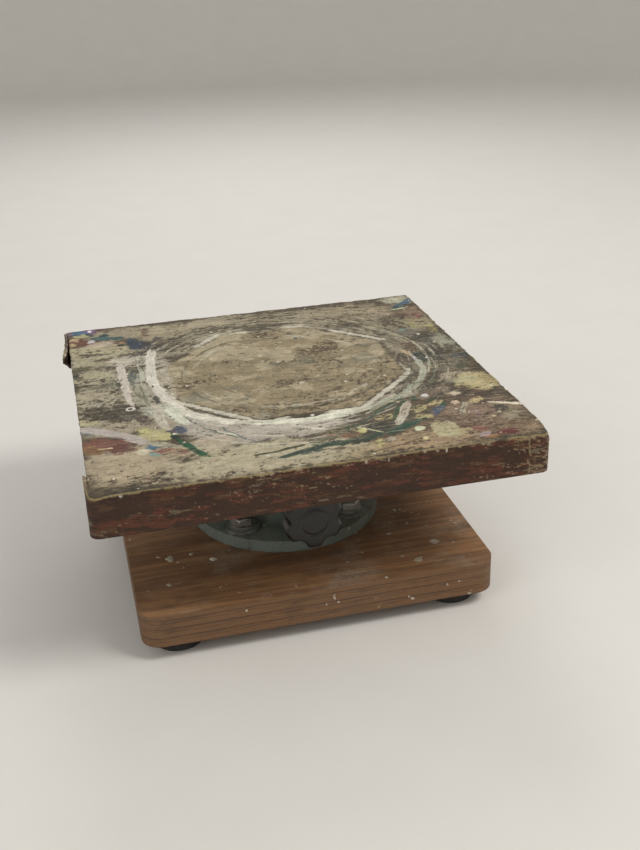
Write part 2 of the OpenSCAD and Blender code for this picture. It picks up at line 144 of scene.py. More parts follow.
class Crust:
    """Dried paint and plaster on the top: x from its left side and y from its back, in millimetres."""

    def __init__(self):
        axis = np.arange(0.0, SIDE + STEP / 2, STEP)
        self.n = len(axis)
        self.x, self.y = np.meshgrid(axis, axis)
        x, y = self.x, self.y
        self.wx = x + 2.2 * fractal(x, y, 11, 9, 11, 3)
        self.wy = y + 1.8 * fractal(x, y, 11, 9, 12, 3)
        self.edge = fractal(x, y, 3.6, 2.4, 21, 4, 0.7)
        self.fine = fractal(x, y, 1.3, 1.0, 31, 2)
        self.tone = fractal(x, y, 7, 4, 41, 4)
        # scraped straight near the edges, and round and round near the middle
        cluster = fractal(x, y, 26, 17, 45, 3)
        cx, cy = PLINTH
        radius = np.hypot(x - cx, y - cy)
        swept = np.arctan2(y - cy, x - cx) * 90.0
        near = smooth((128 - radius) / 30) * smooth((x - 60) / 60 + 0.35)
        straight = fractal(x, y, 5.0, 2.5, 51, 4, 0.8)
        curved = fractal(swept, radius, 6.5, 1.9, 53, 4, 0.8)
        specks = fractal(x, y, 1.9, 1.5, 55, 3, 0.75)
        dashes = straight * (1 - near) + curved * near
        self.wear = 0.66 * dashes + 0.34 * specks + 0.5 * cluster
        self.grain = fractal(x, y, 30, 0.9, 61, 3, 0.7)
        self.colour = np.zeros(x.shape + (3,))
        self.height = np.zeros(x.shape)
        self.gloss = np.zeros(x.shape)

    def window(self, x0, x1, y0, y1):
        """The part of the grid between these sides."""
        cut = [int(np.clip(v / STEP, 0, self.n)) for v in (y0, y1 + 1, x0, x1 + 1)]
        return slice(cut[0], cut[1]), slice(cut[2], cut[3])

    def lay(self, w, cover, rgb, lift=0.0, vary=0.12, gloss=0.0):
        """Lays a colour on a window of the grid, as thick as lift where it covers fully."""
        shade = 1.0 + vary * self.tone[w] + 0.6 * vary * self.fine[w] + 0.5 * vary * self.grain[w]
        tint = linear(rgb) * shade[..., None]
        self.colour[w] += (tint - self.colour[w]) * cover[..., None]
        self.height[w] += lift * cover
        self.gloss[w] += (gloss - self.gloss[w]) * cover

    def patch(self, cx, cy, rx, ry, rgb, turn, worn, lift, soft, cover, gloss=0.0):
        """An irregular patch; worn is roughly the share of it that has flaked off."""
        reach = 1.7 * max(rx, ry) + 3
        w = self.window(cx - reach, cx + reach, cy - reach, cy + reach)
        c, s = np.cos(np.radians(turn)), np.sin(np.radians(turn))
        dx, dy = self.wx[w] - cx, self.wy[w] - cy
        u, v = (c * dx + s * dy) / rx, (-s * dx + c * dy) / ry
        d = np.hypot(u, v)
        ragged = 0.16 + 0.5 / max(rx, 4)
        body = smooth((1.0 - d + ragged * self.edge[w]) / soft)
        left = smooth((self.wear[w] + 1.0 - 1.85 * worn - 0.5 * np.clip(d - 0.6, 0, 1)) / 0.26)
        self.lay(w, cover * body * left, rgb, lift, gloss=gloss)

    def stroke(self, points, width, end_width, rgb, worn, lift):
        """A brush stroke, trickle or smear along a line, with the marks of the bristles along it."""
        points = rounded(points)
        px, py = [p[0] for p in points], [p[1] for p in points]
        reach = max(width, end_width) + 3
        w = self.window(min(px) - reach, max(px) + reach, min(py) - reach, max(py) + reach)
        x = self.x[w] + 0.35 * (self.wx[w] - self.x[w])
        y = self.y[w] + 0.35 * (self.wy[w] - self.y[w])
        d, side, along, total = line_place(x, y, points)
        tip = smooth(np.minimum(along, total - along) / (0.9 * width) + 0.12 * self.edge[w])
        half = 0.5 * (width + (end_width - width) * along / total) * (0.45 + 0.55 * tip)
        bristle = fractal(along, side, 16.0, 0.8, 71, 3, 0.7)
        body = smooth((1.1 - d / half + 0.16 * self.edge[w] + 0.12 * bristle) / 0.35)
        left = smooth((0.5 * self.wear[w] + 0.55 * bristle + 0.6 + 0.4 * tip - 2.0 * worn) / 0.35)
        shade = 0.97 * body * left
        self.lay(w, shade, rgb)
        self.colour[w] *= (1.0 + 0.10 * bristle * shade)[..., None]
        self.height[w] += lift * shade * (0.7 + 0.3 * smooth(1.2 - d / half) + 0.16 * bristle)

    def drop(self, cx, cy, r, rgb, lift=0.5):
        """A round drop, thickest in its middle."""
        w = self.window(cx - r - 2, cx + r + 2, cy - r - 2, cy + r + 2)
        d = np.hypot(self.x[w] - cx, self.y[w] - cy) + 0.2 * r * self.edge[w]
        self.lay(w, smooth((r - d) / (0.2 + 0.15 * r)), rgb, 0.0, 0.05, 0.1)
        self.height[w] += lift * np.sqrt(np.clip(1.0 - (d / r) ** 2, 0.0, 1.0))


# What shows where the upper coats have worn off: x, y, half width, half depth, colour
UNDERCOATS = [
    (60, 20, 70, 26, (112, 100, 80)), (20, 30, 20, 16, (112, 84, 64)), (22, 66, 26, 14, (98, 94, 76)),
    (24, 100, 30, 20, (92, 90, 76)), (24, 142, 34, 24, (80, 74, 62)), (50, 60, 16, 24, (84, 80, 75)),
    (50, 178, 22, 16, (86, 82, 74)), (20, 194, 26, 12, (114, 74, 58)), (80, 222, 50, 20, (110, 102, 78)),
    (150, 216, 36, 16, (88, 84, 66)), (200, 232, 46, 20, (118, 92, 70)), (226, 206, 30, 22, (98, 80, 70)),
    (205, 170, 30, 22, (84, 76, 64)), (226, 118, 26, 36, (76, 74, 64)), (236, 44, 18, 22, (104, 80, 64)),
    (215, 78, 26, 24, (86, 80, 68)), (200, 24, 36, 22, (108, 94, 74)), (140, 20, 50, 24, (104, 96, 76)),
]

# Upper coats: x, y, half width, half depth, colour, turn, how worn
COATS = [
    (18, 46, 33, 15, (170, 162, 136), 4, 0.14), (22, 33, 12, 6, (174, 162, 144), 0, 0.28),
    (14, 62, 26, 13, (160, 153, 130), 0, 0.28), (42, 70, 18, 12, (174, 167, 152), 0, 0.26),
    (40, 16, 32, 14, (152, 143, 122), 0, 0.30), (66, 24, 24, 18, (154, 145, 122), 0, 0.32),
    (12, 92, 22, 16, (164, 157, 134), 0, 0.24), (14, 118, 22, 12, (154, 147, 128), 0, 0.28),
    (8, 150, 16, 10, (154, 147, 126), 0, 0.36), (5, 160, 11, 7, (168, 162, 132), 0, 0.20),
    (46, 134, 11, 26, (162, 155, 140), 0, 0.28), (41, 110, 7, 20, (157, 157, 145), 0, 0.30),
    (24, 160, 16, 8, (148, 140, 124), 0, 0.38), (50, 160, 12, 16, (174, 174, 160), 0, 0.24),
    (66, 180, 20, 16, (167, 160, 150), 30, 0.14), (92, 200, 34, 14, (170, 162, 152), 12, 0.08),
    (124, 203, 28, 11, (170, 162, 151), -4, 0.12), (70, 208, 20, 12, (166, 155, 136), 0, 0.26),
    (96, 222, 32, 10, (166, 158, 134), 0, 0.24), (30, 208, 26, 12, (154, 144, 122), 0, 0.32),
    (30, 232, 34, 14, (154, 142, 119), 0, 0.34), (80, 240, 44, 12, (158, 148, 124), 0, 0.32),
    (44, 186, 14, 12, (172, 165, 128), 0, 0.30), (146, 214, 18, 9, (146, 134, 108), 0, 0.38),
    (136, 240, 40, 11, (152, 139, 112), 0, 0.36), (186, 238, 40, 12, (154, 134, 106), 0, 0.32),
    (222, 214, 32, 24, (132, 114, 97), 0, 0.36), (236, 238, 18, 12, (134, 115, 92), 0, 0.36),
    (228, 96, 16, 26, (119, 113, 99), 0, 0.42), (226, 134, 16, 18, (117, 112, 98), 0, 0.44),
    (243, 104, 9, 26, (146, 146, 129), 0, 0.38), (229, 162, 16, 10, (156, 148, 127), 0, 0.32),
    (238, 62, 17, 17, (154, 146, 118), 0, 0.32), (226, 82, 14, 12, (124, 118, 108), 0, 0.38),
    (242, 36, 13, 12, (126, 108, 88), 0, 0.36), (240, 10, 14, 10, (160, 158, 140), 0, 0.20),
    (205, 148, 9, 28, (125, 119, 102), 20, 0.38), (190, 172, 20, 10, (151, 144, 128), -25, 0.34),
    (208, 178, 16, 8, (134, 122, 104), -20, 0.38), (110, 14, 38, 14, (158, 149, 127), 0, 0.32),
    (152, 20, 36, 15, (150, 140, 119), 0, 0.34), (200, 28, 34, 22, (152, 142, 119), 0, 0.34),
    (214, 54, 16, 20, (142, 134, 114), 0, 0.38), (96, 40, 30, 12, (154, 146, 124), 0, 0.32),
    (160, 44, 34, 12, (150, 140, 118), 0, 0.34), (56, 84, 10, 30, (166, 159, 144), 0, 0.30),
    (18, 128, 30, 16, (162, 154, 134), 0, 0.26), (30, 172, 34, 12, (158, 149, 130), 0, 0.30),
    (26, 214, 32, 22, (164, 152, 130), 0, 0.22), (96, 232, 60, 18, (166, 158, 136), 0, 0.22),
    (40, 124, 10, 28, (152, 148, 130), 0, 0.34), (58, 120, 8, 34, (164, 156, 138), 0, 0.34),
    (208, 110, 8, 26, (138, 132, 114), 0, 0.42), (214, 92, 14, 20, (134, 126, 108), 0, 0.42),
    (70, 60, 20, 12, (150, 142, 122), 0, 0.38), (196, 64, 18, 14, (144, 136, 116), 0, 0.40),
]

# Stains and thicker patches: x, y, half width, half depth, colour, turn, how worn, lift
PATCHES = [
    (10, 6, 8, 4, (66, 112, 140), 0, 0.15, 0.2), (19, 4, 6, 4, (112, 88, 118), 0, 0.2, 0.15),
    (3, 5, 4, 5, (120, 100, 104), 0, 0.3, 0.1), (28, 3, 6, 3, (96, 70, 54), 0, 0.3, 0.1),
    (18, 12, 4, 3.5, (46, 60, 70), 0, 0.1, 0.2), (11, 14, 5, 3.5, (164, 162, 126), 0, 0.2, 0.15),
    (25, 20, 8, 6, (52, 90, 92), 10, 0.3, 0.2), (27, 14, 3, 3.2, (40, 66, 64), 0, 0.1, 0.15),
    (34, 24, 7, 3, (58, 84, 82), 20, 0.4, 0.1), (8, 27, 8, 9, (116, 72, 46), 0, 0.25, 0.2),
    (7, 21, 3, 2.4, (186, 166, 134), 0, 0.1, 0.2), (4, 29, 2, 3.5, (172, 158, 120), 0, 0.3, 0.1),
    (15.5, 25.5, 2.6, 3, (178, 172, 172), 0, 0.1, 0.25), (36, 35, 2.2, 3.0, (170, 130, 88), 0, 0.2, 0.0),
    (46, 42, 7, 8.6, (44, 60, 74), 0, 0.05, 0.35), (42, 32, 2.6, 5.5, (46, 68, 80), 5, 0.1, 0.25),
    (36, 40, 4.6, 1.8, (58, 60, 46), 25, 0.2, 0.1), (56, 46, 8, 9, (66, 60, 62), 0, 0.35, 0.1),
    (56, 56, 5, 5, (58, 54, 52), 0, 0.35, 0.1), (60, 34, 4, 5, (84, 78, 74), 0, 0.35, 0.05),
    (55, 16, 3, 5, (104, 78, 64), 15, 0.4, 0.05), (53, 24, 3, 4, (112, 86, 62), 0, 0.4, 0.05),
    (23, 63, 6, 3.5, (86, 78, 46), 0, 0.35, 0.0), (8, 72, 7, 3, (100, 94, 60), 0, 0.45, 0.0),
    (2.5, 84, 3.2, 4.6, (40, 46, 34), 0, 0.1, 0.05), (17, 104, 9, 8, (96, 92, 68), 0, 0.55, 0.0),
    (37.5, 100, 2.8, 12, (70, 84, 82), 3, 0.35, 0.05), (44, 78, 5, 9, (132, 130, 114), 0, 0.45, 0.0),
    (20, 148, 13, 13, (78, 68, 56), 0, 0.42, 0.0), (28, 157, 9, 9, (70, 62, 54), 0, 0.42, 0.0),
    (12, 142, 8, 5, (88, 76, 58), 0, 0.45, 0.0), (49, 138, 2.8, 8, (68, 68, 60), -15, 0.35, 0.0),
    (38, 166, 4, 8, (86, 74, 66), -20, 0.45, 0.0), (6, 173, 5, 2.4, (108, 120, 126), 10, 0.3, 0.05),
    (14, 190, 13, 9, (124, 78, 58), 10, 0.36, 0.15), (20, 199, 8, 7, (102, 62, 48), 0, 0.36, 0.1),
    (5, 196, 6, 6, (130, 96, 52), 0, 0.35, 0.05), (19, 184, 6, 4, (96, 84, 72), 20, 0.45, 0.0),
    (57.5, 184, 4.6, 6.0, (72, 80, 94), -10, 0.25, 0.15), (52, 186, 4, 3, (92, 84, 90), 0, 0.4, 0.05),
    (33, 182, 3.4, 3.2, (76, 74, 62), 0, 0.4, 0.05), (37, 180, 4, 4.5, (178, 172, 120), 0, 0.3, 0.1),
    (47, 192, 7, 5, (176, 169, 122), 0, 0.3, 0.1), (41, 201, 7, 3.6, (74, 104, 124), 10, 0.12, 0.25),
    (47, 201, 4.6, 1.2, (56, 78, 86), 22, 0.1, 0.15), (33.5, 205.5, 4.2, 3.4, (192, 186, 164), 0, 0.0, 0.5),
    (48, 209, 9, 5, (134, 88, 70), 10, 0.35, 0.1), (39, 212, 3.6, 3, (128, 150, 142), 0, 0.3, 0.15),
    (101, 212, 2.4, 1.6, (84, 76, 72), 0, 0.1, 0.0), (109, 220, 3.4, 1.6, (84, 80, 68), 0, 0.2, 0.0),
    (128, 217, 7, 3, (146, 108, 88), 0, 0.4, 0.0), (121, 232, 8, 3.4, (76, 86, 76), -5, 0.35, 0.1),
    (131, 227, 8, 4, (60, 72, 62), 5, 0.35, 0.15), (146, 229, 11, 3, (52, 58, 50), 0, 0.3, 0.15),
    (140, 213, 6, 3, (94, 88, 58), 0, 0.45, 0.0), (145, 219, 7, 3, (124, 86, 58), 0, 0.4, 0.0),
    (161, 213, 9, 8, (48, 52, 50), 0, 0.25, 0.15), (154, 218, 2.6, 2.8, (182, 178, 126), 0, 0.0, 0.35),
    (156, 236, 2.6, 6, (170, 162, 104), 25, 0.3, 0.1), (169, 203, 9, 3.8, (172, 158, 112), -12, 0.2, 0.15),
    (192, 198, 8, 4.8, (176, 166, 124), -14, 0.15, 0.2), (202, 193, 8, 3.2, (176, 163, 122), -18, 0.22, 0.15),
    (191, 209, 4.6, 3.4, (172, 163, 122), 0, 0.05, 0.3), (201, 204, 8, 3.0, (72, 84, 100), -40, 0.12, 0.2),
    (206, 196, 2, 4.0, (40, 82, 62), 25, 0.1, 0.1), (170, 221, 6, 3.4, (38, 88, 66), -20, 0.2, 0.15),
    (198, 228, 8, 11, (172, 165, 134), 12, 0.08, 0.3), (201, 213, 4, 3.4, (104, 84, 60), 0, 0.2, 0.0),
    (208, 233, 6, 6, (156, 146, 112), 0, 0.42, 0.1), (219, 182.6, 5.2, 2.8, (196, 184, 162), 4, 0.02, 0.35),
    (228, 197, 5.4, 4.0, (186, 168, 126), 0, 0.08, 0.3), (240, 171, 15, 14, (178, 166, 126), 0, 0.10, 0.25),
    (246, 170, 5, 9, (160, 146, 96), 0, 0.25, 0.1), (232, 166, 9, 5, (168, 162, 130), 0, 0.25, 0.1),
    (238, 223, 5, 11, (142, 134, 112), 30, 0.06, 0.3), (236, 211, 4, 5, (78, 78, 70), 0, 0.2, 0.05),
    (228, 242, 8, 4.6, (104, 42, 38), -8, 0.22, 0.15), (217, 246, 8, 2, (150, 108, 62), -8, 0.3, 0.05),
    (216, 242, 4.4, 3.2, (156, 142, 146), -30, 0.05, 0.3), (213, 233, 5, 3.4, (126, 74, 62), 0, 0.35, 0.05),
    (219, 218, 2.8, 9, (144, 122, 116), 15, 0.3, 0.1), (206, 178, 7, 5, (108, 92, 80), 0, 0.42, 0.0),
    (197, 188, 5, 3.2, (112, 78, 64), 0, 0.4, 0.0), (194, 183, 1.8, 4, (48, 82, 62), 5, 0.2, 0.05),
    (216.5, 104, 6, 8.6, (94, 80, 58), 0, 0.1, 0.05), (218, 126, 3.4, 9, (46, 60, 52), 3, 0.05, 0.15),
    (210, 126, 3, 7, (68, 58, 58), 5, 0.35, 0.0), (202, 148, 4, 7, (70, 70, 56), 30, 0.4, 0.0),
    (227, 126, 4, 13, (66, 68, 56), 0, 0.4, 0.0), (244, 127, 6.4, 4.4, (58, 68, 74), 0, 0.3, 0.05),
    (236, 118, 6, 4, (74, 76, 62), 0, 0.42, 0.0), (239, 144, 7, 5, (80, 84, 64), 0, 0.45, 0.0),
    (230, 92, 8, 7, (76, 78, 66), 0, 0.45, 0.0), (240, 46, 3.4, 6, (122, 72, 62), 0, 0.3, 0.05),
    (236, 49, 3.4, 2.4, (74, 58, 46), 0, 0.2, 0.0), (245, 76, 4, 7, (150, 144, 84), 15, 0.35, 0.05),
    (232, 66, 4, 7, (152, 146, 92), 0, 0.38, 0.05), (224, 71, 5, 2.6, (120, 134, 126), 0, 0.35, 0.05),
    (218, 46, 6, 6, (90, 80, 72), 0, 0.42, 0.0), (241, 60.5, 5, 1.2, (78, 66, 50), 8, 0.2, 0.0),
    (236, 8, 5, 3.4, (170, 168, 148), 0, 0.2, 0.15), (232, 186, 9, 4, (104, 72, 62), 0, 0.4, 0.0),
    (238, 232, 8, 5, (112, 92, 66), 0, 0.4, 0.0), (180, 246, 14, 3, (156, 136, 104), 0, 0.35, 0.05),
]

# Strokes and trickles: points, width at the start and at the end, colour, how worn, lift
STROKES = [
    # grey plaster smeared round the front of the plinth's place
    ([(60, 165), (76, 184), (98, 198), (124, 203), (148, 201)], 15, 11, (172, 165, 154), 0.18, 0.25),
    ([(64, 178), (84, 200), (110, 210), (136, 211)], 7, 5, (160, 152, 140), 0.25, 0.2),
    # the pale ring itself
    ([(55, 54), (51, 78), (49, 96), (49, 116), (53, 136), (61, 156)], 7.0, 7.5, (197, 192, 181), 0.08, 0.6),
    ([(45, 60), (44, 84), (43, 104)], 3.0, 3.0, (172, 172, 156), 0.3, 0.2),
    ([(58, 156), (68, 170), (80, 180), (92, 185)], 8.5, 9.0, (202, 198, 184), 0.12, 0.6),
    ([(90, 185), (108, 191), (124, 194), (140, 194), (156, 190)], 7.0, 9.0, (200, 198, 182), 0.08, 0.7),
    ([(152, 192), (166, 187), (178, 180), (188, 172)], 6.0, 4.0, (182, 178, 162), 0.25, 0.4),
    # grey green arcs outside it on the right
    ([(215, 126), (212.6, 144), (206, 157), (198, 168), (187, 177), (177, 183), (163, 189)],
     4.4, 4.2, (163, 164, 148), 0.16, 0.4),
    ([(203, 158), (192, 172), (178, 184), (160, 196)], 2.0, 2.4, (150, 152, 132), 0.25, 0.2),
    ([(208, 132), (204, 148), (196, 160)], 3.0, 2.2, (84, 86, 72), 0.3, 0.0),
    ([(221, 132), (219, 150), (210, 166), (199, 177)], 2.6, 2.0, (88, 96, 80), 0.35, 0.05),
    ([(210, 107), (212, 114), (214, 120)], 2.6, 3.2, (176, 158, 130), 0.05, 0.35),
    ([(214, 119), (214.4, 128)], 3.0, 1.8, (186, 184, 184), 0.0, 0.4),
    ([(222, 92), (224, 112), (221, 132), (214, 148)], 1.4, 1.8, (170, 166, 148), 0.3, 0.25),
    ([(228, 104), (228, 124), (222, 144), (212, 160)], 1.6, 1.2, (120, 118, 100), 0.35, 0.1),
    ([(196, 52), (210, 68), (219, 86)], 1.8, 1.4, (164, 160, 142), 0.35, 0.2),
    ([(100, 206), (120, 209), (142, 207), (160, 201)], 1.3, 1.0, (108, 106, 94), 0.3, 0.0),
    ([(78, 196), (96, 206), (116, 213)], 1.2, 1.4, (188, 184, 168), 0.25, 0.3),
    ([(38, 74), (36, 100), (38, 126), (44, 148)], 1.2, 1.6, (112, 112, 98), 0.35, 0.0),
    ([(62, 190), (78, 208), (98, 218), (122, 222)], 2.0, 1.6, (178, 172, 156), 0.3, 0.25),
    # pale trickle down the left
    ([(24, 65), (40, 71)], 6.0, 9.0, (180, 171, 158), 0.3, 0.25),
    ([(31, 74), (31.5, 92), (32, 110)], 5.4, 6.6, (186, 177, 167), 0.05, 0.5),
    ([(31.8, 106), (32.6, 124), (33.4, 144)], 6.0, 3.0, (188, 179, 169), 0.02, 0.55),
    # blue strokes at the back right
    ([(249, 9), (243, 17), (233, 23.5)], 4.6, 6.4, (60, 94, 118), 0.08, 0.3),
    ([(240, 21), (230, 26)], 5.0, 5.4, (64, 88, 88), 0.2, 0.1),
    ([(242, 26), (230, 29.5)], 1.6, 2.4, (172, 174, 150), 0.1, 0.2),
    ([(248, 12), (246, 14.5)], 1.2, 1.2, (190, 196, 200), 0.0, 0.2),
    # ridges left of the ring
    ([(45, 144), (47.5, 151), (50, 157)], 3.0, 3.4, (184, 175, 158), 0.05, 0.4),
    ([(46, 154), (47, 170), (50, 183)], 5.6, 6.0, (178, 170, 156), 0.25, 0.3),
    ([(54, 152), (56, 166), (61, 178)], 8.0, 7.0, (194, 194, 178), 0.12, 0.4),
    ([(55, 147), (58, 162), (63, 176), (72, 190), (86, 203)], 1.6, 1.2, (190, 190, 172), 0.05, 0.35),
    ([(58, 140), (62, 154), (67, 165)], 1.4, 1.2, (190, 182, 158), 0.0, 0.35),
    ([(78, 188), (84, 200), (94, 212)], 1.6, 1.0, (104, 116, 110), 0.15, 0.05),
    ([(60, 168), (66, 182), (76, 196), (90, 208)], 1.4, 0.9, (92, 98, 88), 0.2, 0.0),
    # lilac band and red patch at the left
    ([(0, 165), (14, 175), (26, 184), (37, 196)], 8.0, 9.0, (170, 162, 155), 0.12, 0.25),
    ([(36, 196), (52, 206), (70, 213)], 6.0, 4.0, (160, 154, 132), 0.3, 0.15),
    ([(9, 196), (17, 197)], 1.2, 2.0, (204, 186, 154), 0.0, 0.3),
    # green strokes
    ([(51, 188), (54, 197)], 4.0, 5.0, (34, 50, 42), 0.15, 0.1),
    ([(54, 196), (57, 206), (61, 215), (67, 223)], 5.2, 4.0, (36, 88, 58), 0.08, 0.25),
    ([(58, 208), (62, 218)], 3.0, 2.4, (52, 66, 50), 0.2, 0.1),
    ([(88, 229), (104, 227.5), (118, 224)], 2.0, 2.6, (74, 76, 54), 0.1, 0.05),
    ([(100, 236), (122, 229), (140, 228.5), (154, 228), (164, 222)], 3.6, 5.4, (54, 70, 58), 0.16, 0.2),
    ([(120, 222), (136, 226), (150, 226)], 1.6, 2.0, (66, 82, 60), 0.2, 0.1),
    ([(165, 225), (177, 217.5), (190, 212)], 6.6, 5.4, (48, 76, 64), 0.1, 0.25),
    ([(142, 213), (160, 202.5), (171, 192.5), (180, 186), (187, 181)], 1.4, 2.6, (72, 90, 74), 0.1, 0.1),
    ([(188, 184), (180, 195), (172.5, 208)], 2.6, 2.2, (58, 86, 58), 0.1, 0.15),
    ([(206, 186), (194, 192), (184, 199)], 2.0, 1.6, (60, 84, 62), 0.2, 0.1),
    ([(148, 245), (158, 241.5), (170, 240), (178, 236), (190, 236)], 1.2, 0.8, (86, 72, 52), 0.15, 0.0),
    # grey and white strokes at the front
    ([(189, 187), (182.5, 200), (173, 215)], 5.4, 6.0, (170, 160, 146), 0.08, 0.35),
    ([(179, 206), (174, 215)], 5.0, 4.0, (192, 187, 172), 0.15, 0.35),
    ([(116, 197), (124, 204), (134, 209)], 2.6, 2.0, (196, 192, 176), 0.0, 0.45),
    ([(150, 212), (156, 216), (163, 222)], 1.0, 1.2, (198, 194, 160), 0.0, 0.4),
    ([(160, 234), (168, 229)], 5.0, 4.6, (160, 150, 134), 0.25, 0.15),
    ([(221, 196), (215, 206), (211, 214)], 3.8, 3.0, (166, 160, 140), 0.3, 0.2),
    ([(231, 202), (240, 206.5), (250, 210)], 1.4, 4.4, (212, 204, 184), 0.0, 0.5),
]

# Single drops: x, y, radius, colour
DROPS = [
    (17, 4.6, 1.8, (210, 204, 210)), (182.9, 223.8, 3.4, (194, 198, 170)),
    (200.8, 182.5, 2.6, (194, 190, 190)),
    (214, 196.4, 2.8, (194, 174, 152)), (182, 236.7, 2.3, (198, 188, 146)), (67, 167, 2.6, (194, 190, 178)),
    (14.2, 138, 0.9, (194, 190, 180)), (121, 88, 1.8, (180, 174, 152)), (88, 60, 1.3, (190, 186, 168)),
    (150, 64, 1.5, (62, 90, 106)), (136, 140, 1.6, (186, 180, 162)), (104, 128, 1.2, (96, 56, 44)),
    (249, 233, 1.6, (200, 188, 162)), (233, 217, 1.6, (188, 176, 152)), (228, 221, 1.4, (184, 172, 148)),
    (243, 180, 1.5, (190, 182, 160)), (96, 232, 1.6, (190, 184, 166)), (131, 188, 1.2, (204, 200, 186)),
]

# The colours of the thrown flecks, and how many there are of each in a hundred
FLECKS = [
    ((198, 193, 178), 26), ((178, 168, 146), 24), ((60, 56, 50), 20), ((54, 64, 54), 10),
    ((156, 144, 108), 9), ((120, 72, 54), 7), ((80, 100, 106), 4),
]


def lay_plinth_place(c):
    """The place where the plinth stood: an octagon that stayed cleaner, the older rings in it, and the
    brush marks that go round it. Returns how near each point is to its edge, which is at 1."""
    x, y, whole = c.x, c.y, slice(None)
    (cx, cy), across, sides = PLINTH, 71.0, 8
    angle = np.arctan2(y - cy, x - cx)
    radius = np.hypot(x - cx, y - cy)
    wedge = np.pi / sides
    reach = radius * np.cos((angle + wedge) % (2 * wedge) - wedge) / across
    inside = smooth((1.0 - reach + 0.012 * c.edge) / 0.03)
    pale = smooth((fractal(x, y, 17, 12, 81) + 0.3 * c.wear - 0.2) / 0.3)
    grey = smooth((fractal(x, y, 21, 15, 83) + 0.3 * c.wear - 0.7) / 0.3)
    c.lay(whole, 0.85 * inside * smooth((c.wear + 0.8) / 0.3), (146, 134, 108), -0.02, 0.16)
    c.lay(whole, 0.8 * inside * smooth((-c.wear - 0.35) / 0.25), (92, 76, 54), -0.06, 0.2)
    c.lay(whole, 0.7 * inside * pale, (168, 158, 134), 0.06)
    c.lay(whole, 0.6 * inside * grey, (118, 116, 100), 0.04)
    swirl = fractal(angle * 90.0, radius, 24.0, 1.5, 85, 3, 0.75)
    for r, width, rgb in ((58, 2.2, (176, 170, 152)), (46, 1.4, (108, 96, 76)), (63, 1.2, (96, 92, 76))):
        ring = smooth((1.0 - abs(radius - r + 0.8 * c.edge) / width) / 0.5)
        c.lay(whole, 0.8 * ring * smooth((swirl + fractal(x, y, 30, 30, 87) - 0.1) / 0.4), rgb, 0.15)
    zone = smooth((radius - 70) / 8) * smooth((122 - radius) / 26) * (1 - inside)
    c.lay(whole, 0.75 * zone * smooth((swirl - 0.55) / 0.4), (176, 172, 156), 0.12)
    c.lay(whole, 0.7 * zone * smooth((-swirl - 0.55) / 0.4), (86, 86, 72), -0.04)
    return reach


def throw_flecks(c, count):
    """Flecks of every colour, thrown over the lot."""
    rng = np.random.default_rng(5)
    odds = np.array([share for _, share in FLECKS], float)
    for _ in range(count):
        fx, fy = rng.uniform(0, SIDE, 2)
        r = 0.4 + 0.9 * rng.random() ** 4
        rgb = FLECKS[rng.choice(len(FLECKS), p=odds / odds.sum())][0]
        c.drop(fx, fy, r, rgb, 0.16 * min(1.0, r))


def scrape_right_side(c):
    """Scratches all over, and fine dry dashes on the right side, which is scraped most."""
    x, y, whole = c.x, c.y, slice(None)
    scratch = smooth((fractal(x, y, 30, 0.8, 111, 3) - 0.85) / 0.15)
    c.lay(whole, 0.35 * scratch, (176, 166, 140), -0.03)
    scraped = smooth((x - 150) / 60)
    dashes = fractal(x, y, 4.0, 0.9, 131, 3, 0.8)
    c.lay(whole, 0.55 * scraped * smooth((dashes - 0.6) / 0.3), (158, 142, 120), 0.04)
    c.lay(whole, 0.5 * scraped * smooth((-dashes - 0.55) / 0.3), (62, 50, 40), -0.04)


def settle_colours(c):
    """Darks a little deeper and lights a little brighter, about a middle tone that stays, and the
    strongest colours dulled by dust."""
    middle, contrast = 0.2, 1.15
    c.colour = middle * (np.clip(c.colour, 0, 1) / middle) ** contrast
    chroma = 1 - c.colour.min(-1) / c.colour.max(-1)
    dulled = 0.2 * smooth((chroma - 0.52) / 0.22)
    c.colour += dulled[..., None] * (c.colour.mean(-1, keepdims=True) - c.colour)


def paint_top():
    """All the coats and marks on the top, the lowest first."""
    c = Crust()
    x, y, whole = c.x, c.y, slice(None)
    c.lay(whole, np.ones(x.shape), (86, 76, 60), 0.0, 0.3)
    for cx, cy, rx, ry, rgb in UNDERCOATS:
        c.patch(cx, cy, rx, ry, tuple(0.84 * v for v in rgb), 0, 0.02, 0.02, 0.8, 0.85)
    for cx, cy, rx, ry, rgb, turn, worn in COATS:
        c.patch(cx, cy, rx * 1.12, ry * 1.12, rgb, turn, worn - 0.03, 0.12, 0.45, 0.93)
    reach = lay_plinth_place(c)
    for cx, cy, rx, ry, rgb, turn, worn, lift in PATCHES:
        c.patch(cx, cy, rx * 1.08, ry * 1.08, rgb, turn, worn, lift, 0.3, 0.95, 0.15)
    # plaster squeezed out from under the plinth, all the way round
    rim = smooth((1.0 - abs(reach - 1.03 + 0.01 * c.edge) / 0.035) / 0.5)
    c.lay(whole, 0.9 * rim * smooth((fractal(x, y, 26, 26, 91) + 0.5) / 0.4), (190, 185, 170), 0.35)
    for stroke in STROKES:
        c.stroke(*stroke)
    # the trickle on the left ends in a ring
    ring = np.hypot(x - 31.9, y - 147.0)
    c.lay(whole, smooth((0.9 - abs(ring - 2.2)) / 0.4), (202, 196, 186), 0.5)
    throw_flecks(c, 420)
    for drop in DROPS:
        c.drop(*drop)
    scrape_right_side(c)
    settle_colours(c)
    c.height += 0.05 * c.edge + 0.05 * c.fine + 0.10 * c.wear + 0.15 * fractal(x, y, 16, 16, 121)
    c.height -= np.percentile(c.height, 2)
    return c


# ---------- Mesh building ----------


